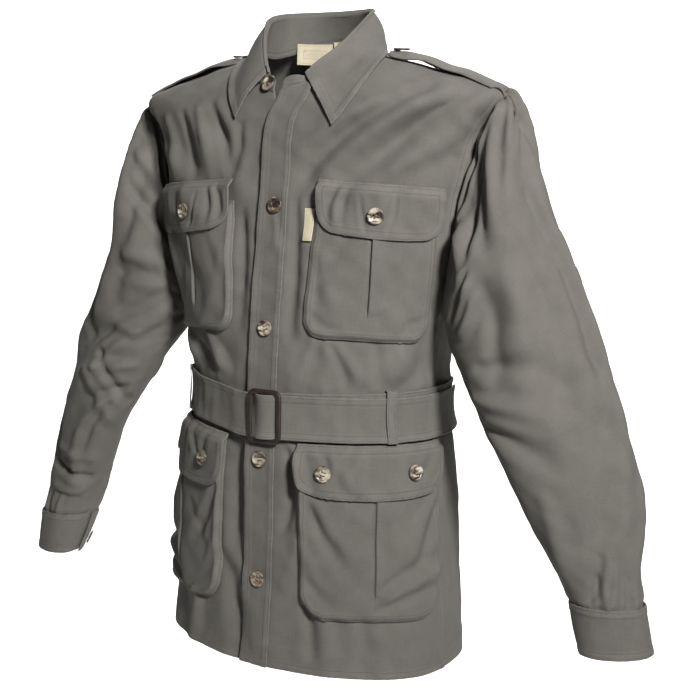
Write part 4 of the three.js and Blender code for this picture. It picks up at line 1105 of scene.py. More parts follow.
def patch_face(spec, wrinkles, a, fall, raised=0.0):
    """Points of a patch's outer face, and the outward directions there."""
    side, half, tall = np.sign(spec["middle"]), spec["wide"] / 2, spec["tall"]
    s = a / half
    inside = patch_inside(spec, a, fall)
    step = spec.get("over", 0) * smooth(fall / 12)
    swell = 1 - spec.get("flat", 0) * (1 + side * s) / 2
    rim = smooth(inside / 6) * smooth(fall / 14)
    out = spec["base"] + swell * (step + spec.get("rise", 0) * rim)
    if spec.get("pleat"):
        ends = smooth((tall - fall - 26) / 12)
        fold = 2.8 * smooth((side * a + 0.5) / 1.0) * np.exp(-np.clip(side * a, 0, None) / 16)
        out = out + (fold - 2.2 * np.exp(-(((side * a + 1.3) / 1.2) ** 2))) * ends * rim
    out = out + 1.4 * folded(wrinkles, PATCH_NAMES, side * a, fall) * smooth(inside / 8)
    drawn_up = 0.4 * np.exp(-((inside / 7) ** 2)) * ripple(a + fall, half)
    sewn = 0.7 * (1 - smooth((inside - 8.5) / 2.5)) + drawn_up
    bow = spec.get("sag", 0) * (1 - s * s) * (fall / tall)
    distance = spec["middle"] + side * spec.get("lean", 0) * (fall / tall) + a
    height = spec["top"] - fall - bow + side * spec.get("tilt", 0) * a
    return skin_at(distance, height, out + sewn + raised)


def patch_grid(spec, wrinkles, rows, cols):
    r, half, tall = spec["round"], spec["wide"] / 2, spec["tall"]
    turn = np.linspace(0, np.pi / 2, 12)[1:]
    fall = np.concatenate([np.linspace(0, tall - r, rows), tall - r + r * np.sin(turn)])[:, None]
    across = 2 * spread(cols, spec["wide"]) - 1
    if spec.get("pleat"):
        across = np.unique(np.concatenate([across, np.linspace(-2.8, 2.8, 9) / half]))
    across = across[None]
    turned = np.clip((fall - (tall - r)) / r, 0, 1)
    a = across * (half - r * (1 - np.sqrt(1 - turned**2)))
    fall = np.broadcast_to(fall, a.shape)
    points, normals = patch_face(spec, wrinkles, a, fall)
    near = patch_inside(spec, a, fall)
    if "over" in spec:
        near = np.minimum(near, fall)
    return points, normals, near


def patch_outline(spec, inset):
    """The line inside a patch's sides and foot: places across and down."""
    r, half, tall = spec["round"], spec["wide"] / 2, spec["tall"]
    turn = np.linspace(0, np.pi / 2, 12)
    side_fall = np.linspace(2, tall - r, 30)
    foot_a = np.linspace(half - r, r - half, 42)[1:-1]
    corner_a = half - r + (r - inset) * np.cos(turn)
    corner_fall = tall - r + (r - inset) * np.sin(turn)
    foot_fall = np.full(40, tall - inset)
    side_a = np.full(30, half - inset)
    a = np.concatenate([side_a, corner_a, foot_a, -corner_a[::-1], -side_a])
    return a, np.concatenate([side_fall, corner_fall, foot_fall, corner_fall[::-1], side_fall[::-1]])


def sew_patch(group, spec, wrinkles):
    lines = [patch_outline(spec, inset) for inset in (EDGE_ROW, SECOND_ROW)]
    half = spec["wide"] / 2
    if "over" in spec:
        lines += [(np.linspace(3 - half, half - 3, 50), np.full(50, inset)) for inset in (2.0, 8.0)]
    else:
        tack = np.linspace(-4, 4, 14)
        lines += [(tack, np.full(14, spec["tall"] - 30 + down)) for down in (0.0, 1.4)]
    for a, fall in lines:
        note(group, patch_face(spec, wrinkles, a, fall, 0.15)[0])


def placket_grid():
    t = FRONT_ROWS[:, None]
    _, u = front_far(t)
    x = front_edge(1, u) + PLACKET_WIDE * spread(13, PLACKET_WIDE)[None]
    points, normals = skin(angle_at(x, u), u, PLACKET_OUT)
    points = lapped(points, normals, over=[("start", 1, 7), ("end", 1, 7), ("top", 1, HEM_DEEP)])
    points, near = puckered(points, normals, "start end top", 3.9, deep=0.5)
    sew("body", points, normals, [("start", EDGE_ROW, WHOLE), ("start", 7, WHOLE), ("end", EDGE_ROW, WHOLE),
                                  ("end", 7, WHOLE), ("top", HEM_DEEP - 1.5, WHOLE)])
    return points, normals, near


# The belt starts under the buckle's middle bar, runs once round the waist by the wearer's left,
# and its tail goes through the buckle and on over itself. turn: degrees round the body; face: its
# outer face over the panels; lift: above the belt line.
BELT_RING = float(ring_at(WAIST, 0.0))


def at_x(x):
    return float(np.degrees(angle_at(np.float64(x), BELT_RING)))


BELT = table(
    "turn face lift",
    [at_x(13), 7.8, 2],
    [at_x(23), 7.8, 2],
    [at_x(38), 5.4, 3],
    [at_x(54), 3.3, 3],
    [60, 3.3, 6],
    [95, 3.3, 8],
    [140, 3.3, 10],
    [180, 3.3, 12],
    [230, 3.3, 14],
    [300, 3.3, 15],
    [360 + at_x(-62), 3.3, 5],
    [360 + at_x(-25), 8.8, 0],
    [360 + at_x(-7), 8.8, 0],
    [360 + at_x(5), 17.3, 0],
    [360 + at_x(15), 17.3, 0],
    [360 + at_x(25), 10.9, 0],
    [360 + at_x(38), 8.8, 0],
    [360 + at_x(54), 6.6, 0],
    [420, 6.5, 0],
    [455, 6.5, 1],
    [478, 6.5, 2],
)


def belt_grid():
    turn = []
    for a, b in zip(BELT["turn"][:-1], BELT["turn"][1:]):
        turn += list(np.linspace(a, b, max(2, round((b - a) / 1.6) + 1))[:-1])
    turn = np.array(turn + [476.5, 477.6, 478.0])
    i = np.clip(np.searchsorted(BELT["turn"], turn, side="right") - 1, 0, len(BELT["turn"]) - 2)
    t = (turn - BELT["turn"][i]) / (BELT["turn"][i + 1] - BELT["turn"][i])
    face = lerp(BELT["face"][i], BELT["face"][i + 1], smooth(t))
    lift = lerp(BELT["lift"][i], BELT["lift"][i + 1], np.clip(t, 0, 1))
    share = (0.5 - spread(17, BELT_WIDE))[:, None]
    wide = np.where(turn > 476, BELT_WIDE - 4, BELT_WIDE)
    phi = np.broadcast_to(np.radians(turn)[None], (len(share), len(turn)))
    z = WAIST + lift[None] + share * wide
    points = form(phi, np.full(phi.shape, BELT_RING))
    points[..., 2] = z
    n = outward(phi, np.full(phi.shape, BELT_RING))
    n[..., 2] = 0
    n = unit(n)
    slack = np.maximum(0, np.sum((form(phi, ring_at(z, phi)) - points) * n, -1)) + 1.2 * share**2
    wave = 0.5 * np.sin(turn * 0.31 + 5 * share) + 0.4 * np.sin(turn * 0.83 + 2)
    points = points + n * (face[None] + 0.8 + slack + wave)[..., None]
    points = lapped(points, n, over=[("top", 1, 5), ("bottom", 1, 5)])
    points, near = puckered(points, n, "top bottom end", 5.5, deep=0.3, reach=6)
    sew("trim", points, n, [("top", 2.2, WHOLE), ("top", 6, WHOLE), ("bottom", 2.2, WHOLE),
                            ("bottom", 6, WHOLE), ("end", 2.4, WHOLE)])
    return points, n, near


def belt_loop_grid(turn, face, lift, spread_by=0.0):
    """A loop over the belt, from the panel above it to the panel below."""
    half = (BELT_WIDE + spread_by) / 2
    upper = [(3.6, 1.5), (2.9, (1.5 + face) / 2), (2.2, face - 0.6), (0, face), (-half, face + 0.3)]
    path = upper + [(-2 * half - z, out) for z, out in upper[-2::-1]]
    z = np.array([p[0] for p in path])[:, None]
    out = np.array([p[1] for p in path])[:, None]
    phi = np.radians(turn) + np.array([-6, -3, 0, 3, 6])[None] / 150
    phi, z, out = np.broadcast_arrays(phi, z, out)
    points, normals = skin(phi, ring_at(WAIST + lift + half + z, phi), out)
    points = refined(points, 40, 9, 0.5)
    normals = grid_normals(points, np.broadcast_to(normals[4, 2], points.shape))
    near, _ = border_distances(points, "start end")
    sew("trim", points, normals, [("start", 1.8, slice(3, -3)), ("end", 1.8, slice(3, -3))])
    return points, normals, near


def epaulette_grid(side):
    rows = table(
        "ring half arch front back",
        [12.06, 23, -0.3, 0.9, 0.9],
        [12.2, 23, 1.0, 0.9, 0.9],
        [12.45, 22, 3.6, 0.85, 1.0],
        [12.75, 21, 7.0, 0.5, 1.05],
        [13.05, 20, 9.5, 0.55, 0.95],
        [13.35, 19, 10.0, 1.0, 0.5],
        [13.5, 18, 7.6, 1.1, 0.4],
        [13.6, 9, 5.6, 1.1, 0.4],
    )
    s = np.array([-1, -0.6, 0, 0.6, 1])[None]
    ring, half, arch, front, back = (rows[n][:, None] + 0 * s for n in "ring half arch front back".split())
    out = DOUBLE + 0.3 + arch * np.where(s < 0, 1 - back * s * s, 1 - front * s * s)
    points, normals = skin(angle_before_ridge(s * half + 3, ring), ring, out)
    points = refined(points, 44, 20, 0.6)
    points = mirrored(points, side)
    like = np.broadcast_to([0, 0, 1.0], points.shape)
    normals = grid_normals(points, like)
    down, across = lengths(points, 0), lengths(points, 1)
    dent = 0.7 * np.sin(0.12 * down + 0.05 * across + side) * smooth((down - 20) / 30)
    points = points + normals * dent[..., None]
    points = lapped(points, normals, over=[("start", 1, 6.5), ("end", 1, 6.5), ("bottom", 1, 6.5)])
    points, near = puckered(points, normals, "start end bottom", 2.2 + side, deep=0.35, reach=6)
    sew("trim", points, normals, [("start", 1.6, WHOLE), ("start", 6, slice(0, -4)), ("end", 1.6, WHOLE),
                                  ("end", 6, slice(0, -4)), ("bottom", 1.8, WHOLE)])
    return points, normals, near


def label_grid(x, wide, tall, top):
    """A label that hangs upright inside the back of the neck, from its seam."""
    t = np.array([0, 0.33, 0.67, 1])[:, None]
    s = np.array([-0.5, -0.17, 0.17, 0.5])[None]
    t, s = np.broadcast_arrays(t, s)
    neck = np.full(s.shape, float(NECK))
    points = form(np.pi - angle_at(x + s * wide, neck), neck)
    inward = -unit(points * np.array([1.0, 1.0, 0.0]))
    points = points + inward * (4.6 - 0.8 * t + 0.5 * np.sin(9 * s))[..., None]
    points[..., 2] = top - t * tall
    points = refined(points, 14, 18, 0.4)
    normals = grid_normals(points, np.broadcast_to([0, -1.0, 0], points.shape))
    near, _ = border_distances(points, "top bottom start end")
    sew("label", points, normals, [("top", 1.2, slice(1, -1)), ("start", 1.2, slice(1, -1)),
                                   ("end", 1.2, slice(1, -1))])
    return points, normals, near


def tab_grid():
    t = spread(12, 38)[:, None]
    s = spread(6, 12)[None]
    t, s = np.broadcast_arrays(t, s)
    curl = 2.2 * smooth((t - 0.35) / 0.65) * (0.4 + 0.6 * s)
    points, normals = skin_at(44 + 12 * s, -190 - 38 * t, LAY + 1.4 + curl)
    near, _ = border_distances(points, "top bottom start end")
    sew("label", points, normals, [("top", 1.4, WHOLE), ("top", 2.6, WHOLE)])
    return points, normals, near


# The buckle: a frame with a middle bar, covered in leather, seen flat from the front.
BUCKLE_X, BUCKLE_WIDE, BUCKLE_TALL, BUCKLE_BAR, BUCKLE_OUT = 10, 46, 64, 5, 11.2


CORNERS = ((1, 1), (-1, 1), (-1, -1), (1, -1))


def rounded_path(half_wide, half_tall, r, per_corner=7, per_side=8):
    """A rectangle with rounded corners, as points counted from its upper right corner."""
    def on_corner(k, a):
        x, z = CORNERS[k % 4]
        return np.stack([x * (half_wide - r) + r * np.cos(a), z * (half_tall - r) + r * np.sin(a)], -1)

    path = []
    for k in range(4):
        a = np.linspace(0, np.pi / 2, per_corner) + k * np.pi / 2
        corner = on_corner(k, a)
        straight = np.linspace(0, 1, per_side + 2)[1:-1, None]
        path += [corner, lerp(corner[-1], on_corner(k + 1, a[-1]), straight)]
    return np.concatenate(path)


def swept(centre, beside, half_wide, half_thick, closed, segments=14):
    """A tube of rounded flat section along a path in the XZ plane; its flat side faces front."""
    a = np.linspace(0, 2 * np.pi, segments, endpoint=False)
    flat_x = np.sign(np.cos(a)) * np.abs(np.cos(a)) ** 0.55
    flat_y = np.sign(np.sin(a)) * np.abs(np.sin(a)) ** 0.7
    ring = beside[:, None] * (flat_x * half_wide)[None, :, None]
    points = centre[:, None] + ring + np.array([0, -1.0, 0]) * (flat_y * half_thick)[None, :, None]
    rows = len(points)
    i, j = np.meshgrid(np.arange(rows if closed else rows - 1), np.arange(segments), indexing="ij")
    i2, j2 = (i + 1) % rows, (j + 1) % segments
    faces = np.stack([v.ravel() for v in (i * segments + j, i2 * segments + j, i2 * segments + j2,
                                          i * segments + j2)], -1).tolist()
    if not closed:
        faces += [list(range(segments))[::-1], [(rows - 1) * segments + k for k in range(segments)]]
    return points.reshape(-1, 3), faces


def buckle_mesh():
    place, _ = skin(angle_at(np.float64(BUCKLE_X), BELT_RING), BELT_RING)
    middle = np.array([BUCKLE_X, place[1] - BUCKLE_OUT - 0.8 - 1.5, WAIST])
    half = BUCKLE_BAR / 2
    path = rounded_path(BUCKLE_WIDE / 2 - half, BUCKLE_TALL / 2 - half, 7)
    ahead = np.roll(path, -1, axis=0) - np.roll(path, 1, axis=0)
    across = unit(np.stack([ahead[:, 1], 0 * ahead[:, 0], -ahead[:, 0]], -1))
    centre = middle + np.stack([path[:, 0], 0 * path[:, 0], path[:, 1]], -1)
    points, faces = swept(centre, across, half + 0.8, 1.9, True)
    tall = np.linspace(-1, 1, 12) * (BUCKLE_TALL / 2 - BUCKLE_BAR)
    bar = middle + np.stack([0 * tall, 0 * tall, tall], -1)
    bar_points, bar_faces = swept(bar, np.broadcast_to([1.0, 0, 0], bar.shape), 2.0, 1.4, False)
    faces += [[v + len(points) for v in f] for f in bar_faces]
    for inset in (-1.7, 1.7):
        line = centre + across * inset - np.array([0, 1.92, 0])
        note("buckle", np.concatenate([line, line[:1]]))
    return np.concatenate([points, bar_points]), faces


# Materials.
def node_material(name):
    material = bpy.data.materials.new(name)
    material.use_nodes = True
    tree = material.node_tree
    shader = tree.nodes["Principled BSDF"]

    def node(kind, x, y, inputs=(), **values):
        made = tree.nodes.new(kind)
        made.location = (x, y)
        for key, value in values.items():
            setattr(made, key, value)
        for socket, value in dict(inputs).items():
            made.inputs[socket].default_value = value
        return made

    def link(source, target):
        tree.links.new(source, target)

    return material, shader, node, link


def colour(r, g, b):
    """A colour from the 0 to 255 values that a screen shows."""
    c = np.array([r, g, b]) / 255
    linear = np.where(c <= 0.04045, c / 12.92, ((c + 0.055) / 1.055) ** 2.4)
    return (*linear.tolist(), 1.0)


def noise(node, link, where, scale, detail, x, y):
    made = node("ShaderNodeTexNoise", x, y, {"Scale": scale, "Detail": detail})
    link(where, made.inputs["Vector"])
    return made.outputs["Fac"]


def ramp(node, link, value, stops, x, y):
    made = node("ShaderNodeValToRGB", x, y)
    link(value, made.inputs["Fac"])
    points = made.color_ramp.elements
    while len(points) < len(stops):
        points.new(0.5)
    for point, (place, shade) in zip(points, stops):
        point.position = place
        point.color = shade if len(shade) == 4 else (shade[0],) * 3 + (1.0,)
    return made.outputs["Color"]


def maths(node, link, kind, a, b, x, y):
    made = node("ShaderNodeMath", x, y, operation=kind)
    for socket, value in zip(made.inputs, (a, b)):
        if isinstance(value, (int, float)):
            socket.default_value = value
        else:
            link(value, socket)
    return made.outputs[0]


def mixed(node, link, kind, factor, a, b, x, y):
    made = node("ShaderNodeMix", x, y, data_type="RGBA", blend_type=kind)
    for socket, value in ((made.inputs[0], factor), (made.inputs[6], a), (made.inputs[7], b)):
        if isinstance(value, (int, float, tuple)):
            socket.default_value = value
        else:
            link(value, socket)
    return made.outputs[2]


def bumped(node, link, shader, height, strength, distance, x, y):
    made = node("ShaderNodeBump", x, y, {"Strength": strength, "Distance": distance})
    link(height, made.inputs["Height"])
    link(made.outputs["Normal"], shader.inputs["Normal"])


def cotton_material(name, light, dark, worn):
    """Garment-dyed cotton twill: mottled, worn pale along its edges, with a fine diagonal weave, and painted
    shade in its stitch grooves and along its borders.
    """
    material, shader, node, link = node_material(name)
    place = node("ShaderNodeTexCoord", -1900, 0)
    uv, body = place.outputs["UV"], place.outputs["Object"]
    broad = noise(node, link, body, 9.0, 3.0, -1600, 500)
    cloudy = noise(node, link, body, 46.0, 4.0, -1600, 300)
    streaked = node("ShaderNodeMapping", -1750, 60, {"Scale": (900.0, 60.0, 1.0)})
    link(uv, streaked.inputs["Vector"])
    slub = noise(node, link, streaked.outputs["Vector"], 1.0, 2.0, -1560, 80)
    crossed = node("ShaderNodeMapping", -1750, 180, {"Scale": (70.0, 800.0, 1.0)})
    link(uv, crossed.inputs["Vector"])
    picks = noise(node, link, crossed.outputs["Vector"], 1.0, 2.0, -1560, 190)
    tone = maths(node, link, "MULTIPLY", broad, 0.2, -1350, 430)
    for share, part, x in ((0.3, cloudy, -1230), (0.26, slub, -1110), (0.24, picks, -990)):
        more = maths(node, link, "MULTIPLY_ADD", part, share, x, 330)
        link(tone, more.node.inputs[2])
        tone = more
    base = ramp(node, link, tone, [(0.3, dark), (0.7, light)], -820, 300)
    weave_at = node("ShaderNodeMapping", -1750, -260, {"Rotation": (0, 0, np.radians(63))})
    link(uv, weave_at.inputs["Vector"])
    twill = node(
        "ShaderNodeTexWave", -1550, -260,
        {"Scale": 480.0, "Distortion": 1.2, "Detail": 1.0, "Detail Scale": 2.0},
        wave_type="BANDS", bands_direction="X", wave_profile="SIN")
    link(weave_at.outputs["Vector"], twill.inputs["Vector"])
    yarn = node("ShaderNodeTexWave", -1550, -560, {"Scale": 560.0, "Distortion": 0.6},
                wave_type="BANDS", bands_direction="Y", wave_profile="SIN")
    link(uv, yarn.inputs["Vector"])
    thread = maths(node, link, "MULTIPLY_ADD", yarn.outputs["Fac"], 0.35, -1300, -420)
    link(twill.outputs["Fac"], thread.node.inputs[2])
    valley = ramp(node, link, thread, [(0.0, (0.80,)), (0.9, (1.0,))], -1100, -300)
    base = mixed(node, link, "MULTIPLY", 0.55, base, valley, -560, 240)
    height = maths(node, link, "MULTIPLY_ADD", cloudy, 0.6, -900, -520)
    link(thread, height.node.inputs[2])
    seam = node("ShaderNodeAttribute", -1750, -900, attribute_name="seam").outputs["Fac"]
    scaled = maths(node, link, "MULTIPLY", seam, 0.05, -1560, -900)
    groove = ramp(
        node, link, scaled,
        [(0.0, (0.72,)), (0.03, (1.0,)), (0.075, (0.8,)), (0.09, (0.35,)), (0.105, (0.8,)),
         (0.2, (1.0,)), (0.37, (0.9,)), (0.4, (0.35,)), (0.43, (0.85,)), (0.6, (0.75,))],
        -1350, -900)
    wear = ramp(node, link, scaled, [(0.0, (1.0,)), (0.05, (0.75,)), (0.25, (0.3,)), (0.5, (0.0,))],
                -1350, -1150)
    patchy = ramp(node, link, noise(node, link, body, 160.0, 3.0, -1350, -1400),
                  [(0.42, (0.0,)), (0.62, (1.0,))], -1150, -1400)
    worn_here = maths(node, link, "MULTIPLY", wear, patchy, -950, -1200)
    base = mixed(node, link, "MIX", maths(node, link, "MULTIPLY", worn_here, 0.16, -780, -1200),
                 base, worn, -380, 200)
    # Painted shade: the colour is darkened in the grooves of the stitch lines, and a little along each
    # piece's border, where shade would fall.
    shade = ramp(node, link, groove, [(0.3, (0.5,)), (0.85, (1.0,))], -700, -800)
    base = mixed(node, link, "MULTIPLY", 0.8, base, shade, -200, 180)
    raised = maths(node, link, "MULTIPLY_ADD", groove, 3.5, -700, -600)
    link(height, raised.node.inputs[2])
    height = raised
    bumped(node, link, shader, height, 0.45, 0.0004, -250, -400)
    rough = ramp(node, link, tone, [(0.3, (0.80,)), (0.7, (0.93,))], -500, -150)
    link(base, shader.inputs["Base Color"])
    link(rough, shader.inputs["Roughness"])
    shader.inputs["Sheen Weight"].default_value = 0.03
    shader.inputs["Sheen Roughness"].default_value = 0.5
    shader.inputs["Specular IOR Level"].default_value = 0.15
    return material


def thread_material(name, light, dark):
    """Sewing thread, with the twist of its strands as a fine bump."""
    material, shader, node, link = node_material(name)
    body = node("ShaderNodeTexCoord", -1200, 0).outputs["Object"]
    tone = noise(node, link, body, 120.0, 2.0, -1000, 200)
    link(ramp(node, link, tone, [(0.35, dark), (0.65, light)], -700, 200), shader.inputs["Base Color"])
    strands = node("ShaderNodeTexWave", -1000, -200, {"Scale": 900.0},
                   wave_type="BANDS", bands_direction="DIAGONAL")
    link(body, strands.inputs["Vector"])
    bumped(node, link, shader, strands.outputs["Fac"], 0.4, 0.0001, -500, -200)
    rough = ramp(node, link, tone, [(0.3, (0.6,)), (0.7, (0.75,))], -700, -40)
    link(rough, shader.inputs["Roughness"])
    return material


def horn_material():
    """Buttons of horn: cream and brown clouds with dark streaks, and a low polish."""
    material, shader, node, link = node_material("horn")
    body = node("ShaderNodeTexCoord", -1600, 0).outputs["Object"]
    stretched = node("ShaderNodeMapping", -1400, 0,
                     {"Rotation": (0.4, 0.7, 0.5), "Scale": (1.0, 1.0, 2.6)})
    link(body, stretched.inputs["Vector"])
    cloud = noise(node, link, stretched.outputs["Vector"], 62.0, 3.0, -1150, 150)
    cloud.node.inputs["Distortion"].default_value = 0.8
    stops = [(0.36, colour(40, 33, 29)), (0.45, colour(84, 70, 58)), (0.53, colour(142, 130, 114)),
             (0.66, colour(184, 176, 160))]
    clouds = ramp(node, link, cloud, stops, -850, 200)
    edge = node("ShaderNodeAttribute", -850, 420, attribute_name="rim").outputs["Fac"]
    link(mixed(node, link, "MIX", edge, clouds, colour(54, 43, 36), -560, 260), shader.inputs["Base Color"])
    rough = ramp(node, link, noise(node, link, body, 300.0, 3.0, -1150, -150),
                 [(0.3, (0.28,)), (0.7, (0.46,))], -850, -120)
    link(rough, shader.inputs["Roughness"])
    bumped(node, link, shader, cloud, 0.06, 0.0002, -500, -300)
    shader.inputs["Coat Weight"].default_value = 0.08
    shader.inputs["Coat Roughness"].default_value = 0.25
    return material


def leather_material():
    """Dark brown leather with a pebbled grain and paler clouds here and there."""
    material, shader, node, link = node_material("leather")
    body = node("ShaderNodeTexCoord", -1600, 0).outputs["Object"]
    grain_cells = node("ShaderNodeTexVoronoi", -1300, -200, {"Scale": 900.0}, feature="F1")
    link(body, grain_cells.inputs["Vector"])
    cloud = noise(node, link, body, 90.0, 4.0, -1300, 150)
    tones = ramp(node, link, cloud, [(0.3, colour(30, 22, 19)), (0.6, colour(46, 35, 31)),
                                     (0.8, colour(70, 55, 48))], -1000, 200)
    pits = ramp(node, link, grain_cells.outputs["Distance"], [(0.0, (1.0,)), (0.9, (0.65,))], -1000, -60)
    link(mixed(node, link, "MULTIPLY", 0.6, tones, pits, -700, 150), shader.inputs["Base Color"])
    bumped(node, link, shader, grain_cells.outputs["Distance"], 0.5, 0.0003, -500, -300)
    link(ramp(node, link, cloud, [(0.3, (0.42,)), (0.7, (0.6,))], -700, -150), shader.inputs["Roughness"])
    return material


COTTON = cotton_material("cotton", colour(112, 109, 103), colour(93, 90, 85), colour(140, 136, 128))
LABEL = cotton_material("label", colour(190, 181, 158), colour(168, 158, 134), colour(206, 198, 178))
THREAD = thread_material("cotton_thread", colour(92, 89, 84), colour(68, 66, 62))
PALE_THREAD = thread_material("label_thread", colour(176, 167, 146), colour(150, 141, 120))
BROWN_THREAD = thread_material("leather_thread", colour(74, 60, 50), colour(50, 40, 34))
HORN = horn_material()
LEATHER = leather_material()


# Sewing threads: a row of short stitches along each noted line.
def stitching_tree():
    tree = bpy.data.node_groups.new("Stitching", "GeometryNodeTree")
    for name, kind in (("Lines", "NodeSocketGeometry"), ("Pitch", "NodeSocketFloat"),
                       ("Stitch length", "NodeSocketFloat"), ("Stitch width", "NodeSocketFloat"),
                       ("Seed", "NodeSocketInt"), ("Thread", "NodeSocketMaterial")):
        tree.interface.new_socket(name, in_out="INPUT", socket_type=kind)
    tree.interface.new_socket("Stitches", in_out="OUTPUT", socket_type="NodeSocketGeometry")
    node = tree.nodes.new
    given, made = node("NodeGroupInput"), node("NodeGroupOutput")
    curved, evenly = node("GeometryNodeMeshToCurve"), node("GeometryNodeResampleCurve")
    evenly.mode = "LENGTH"
    stitch, place = node("GeometryNodeMeshIcoSphere"), node("GeometryNodeInstanceOnPoints")
    stitch.inputs["Radius"].default_value = 0.5
    stitch.inputs["Subdivisions"].default_value = 1
    ahead, turned = node("GeometryNodeInputTangent"), node("FunctionNodeAlignRotationToVector")
    turned.axis = "X"
    uneven, size = node("FunctionNodeRandomValue"), node("ShaderNodeCombineXYZ")
    scaled = node("ShaderNodeVectorMath")
    uneven.data_type = "FLOAT"
    uneven.inputs[2].default_value = 0.86
    uneven.inputs[3].default_value = 1.12
    scaled.operation = "SCALE"
    real, coloured = node("GeometryNodeRealizeInstances"), node("GeometryNodeSetMaterial")
    soft = node("GeometryNodeSetShadeSmooth")
    for source, out, target, into in (
        (given, "Lines", curved, "Mesh"),
        (curved, "Curve", evenly, "Curve"),
        (given, "Pitch", evenly, "Length"),
        (evenly, "Curve", place, "Points"),
        (stitch, "Mesh", place, "Instance"),
        (ahead, "Tangent", turned, "Vector"),
        (turned, "Rotation", place, "Rotation"),
        (given, "Stitch length", size, "X"),
        (given, "Stitch width", size, "Y"),
        (given, "Stitch width", size, "Z"),
        (given, "Seed", uneven, "Seed"),
        (size, "Vector", scaled, 0),
        (uneven, 1, scaled, "Scale"),
        (scaled, "Vector", place, "Scale"),
        (place, "Instances", real, "Geometry"),
        (real, "Geometry", soft, "Geometry"),
        (soft, "Geometry", coloured, "Geometry"),
        (given, "Thread", coloured, "Material"),
        (coloured, "Geometry", made, 0),
    ):
        tree.links.new(source.outputs[out], target.inputs[into])
    return tree


def socket_ids(tree):
    return {item.name: item.identifier for item in tree.interface.items_tree if item.in_out == "INPUT"}


def made_plain(piece):
    """Turns a piece with its modifiers into a plain mesh."""
    view = bpy.context.evaluated_depsgraph_get()
    mesh = bpy.data.meshes.new_from_object(piece.evaluated_get(view))
    piece.modifiers.clear()
    piece.data = mesh
    mesh.name = piece.name
    return piece


STITCHING = stitching_tree()


def stitched(name, lines, thread, pitch, length, width, seed):
    vertices = np.concatenate(lines) * MM
    edges, count = [], 0
    for line in lines:
        edges += [(count + k, count + k + 1) for k in range(len(line) - 1)]
        count += len(line)
    mesh = bpy.data.meshes.new(name)
    mesh.from_pydata(vertices.tolist(), edges, [])
    piece = bpy.data.objects.new(name, mesh)
    bpy.context.scene.collection.objects.link(piece)
    rows = piece.modifiers.new("Stitching", "NODES")
    rows.node_group = STITCHING
    ids = socket_ids(STITCHING)
    rows[ids["Pitch"]] = pitch * MM
    rows[ids["Stitch length"]] = length * MM
    rows[ids["Stitch width"]] = width * MM
    rows[ids["Seed"]] = seed
    rows[ids["Thread"]] = thread
    made_plain(piece)
    return piece


# Buttons.
def button_template():
    profile = [(0.0, 0.0), (8.8, 0.0), (9.6, 0.3), (10.0, 1.0), (10.0, 2.1), (9.7, 2.7), (9.0, 3.0),
               (8.2, 2.95), (7.4, 2.6), (6.9, 2.25), (6.4, 2.15), (0.0, 2.15)]
    turns = np.linspace(0, 2 * np.pi, 36, endpoint=False)
    points, faces = [(0, 0, 0.0)], []
    rings = profile[1:-1]
    for r, z in rings:
        points += [(r * np.cos(a), r * np.sin(a), z) for a in turns]
    points.append((0, 0, 2.15))
    n = len(turns)
    for k in range(n):
        faces.append((0, 1 + (k + 1) % n, 1 + k))
        for i in range(len(rings) - 1):
            a, b = 1 + i * n + k, 1 + i * n + (k + 1) % n
            faces.append((a, b, b + n, a + n))
        last = 1 + (len(rings) - 1) * n
        faces.append((last + k, last + (k + 1) % n, len(points) - 1))
    disc = mesh_object("button_disc", points, faces, HORN)
    for i, (x, y) in enumerate([(2, 2), (-2, 2), (-2, -2), (2, -2)]):
        around = np.linspace(0, 2 * np.pi, 12, endpoint=False)
        ring = [(x + 0.85 * np.cos(a), y + 0.85 * np.sin(a)) for a in around]
        pin = [(a, b, -1.0) for a, b in ring] + [(a, b, 4.0) for a, b in ring]
        sides = [(k, (k + 1) % 12, 12 + (k + 1) % 12, 12 + k) for k in range(12)]
        caps = [tuple(range(12))[::-1], tuple(range(12, 24))]
        cutter = mesh_object(f"button_hole_{i}", pin, sides + caps, HORN)
        hole = disc.modifiers.new("hole", "BOOLEAN")
        hole.object = cutter
        hole.solver = "EXACT"
        hole.operation = "DIFFERENCE"
    view = bpy.context.evaluated_depsgraph_get()
    mesh = bpy.data.meshes.new_from_object(disc.evaluated_get(view))
    for piece in [o for o in bpy.context.scene.objects if o.name.startswith("button_")]:
        bpy.data.objects.remove(piece)
    mesh.materials.clear()
    mesh.materials.append(HORN)
    reach = np.array([v.co.xy.length for v in mesh.vertices]) / MM
    layer = mesh.attributes.new("rim", "FLOAT", "POINT")
    layer.data.foreach_set("value", (0.75 * smooth((reach - 8.6) / 1.2)).astype(np.float32))
    return mesh


BUTTON_THREADS = []


def button(name, place, normal, gap, turn):
    """One button on a place, turned a little, and the threads that cross between its holes."""
    mesh = BUTTON.copy()
    mesh.name = name
    normal = Vector(normal.tolist()).normalized()
    up = Vector((0, 0, 1)) - normal * normal.z
    up = up.normalized() if up.length > 0.3 else (Vector((1, 0, 0)) - normal * normal.x).normalized()
    side = up.cross(normal)
    rotation = Matrix((side, up, normal)).transposed().to_4x4() @ Matrix.Rotation(turn, 4, "Z")
    foot = Vector((place * MM).tolist()) + normal * gap * MM
    mesh.transform(Matrix.Translation(foot) @ rotation)
    piece = bpy.data.objects.new(name, mesh)
    bpy.context.scene.collection.objects.link(piece)
    for y in (2, -2):
        path = ((2, 1.2), (1.6, 2.5), (-1.6, 2.5), (-2, 1.2))
        line = [foot + (rotation.to_3x3() @ Vector((x, y, z))) * MM for x, z in path]
        for shift in (-0.3, 0.3):
            aside = rotation.to_3x3() @ Vector((0, shift * MM, 0))
            BUTTON_THREADS.append(np.array([list(v + aside) for v in line]) / MM)
    return piece


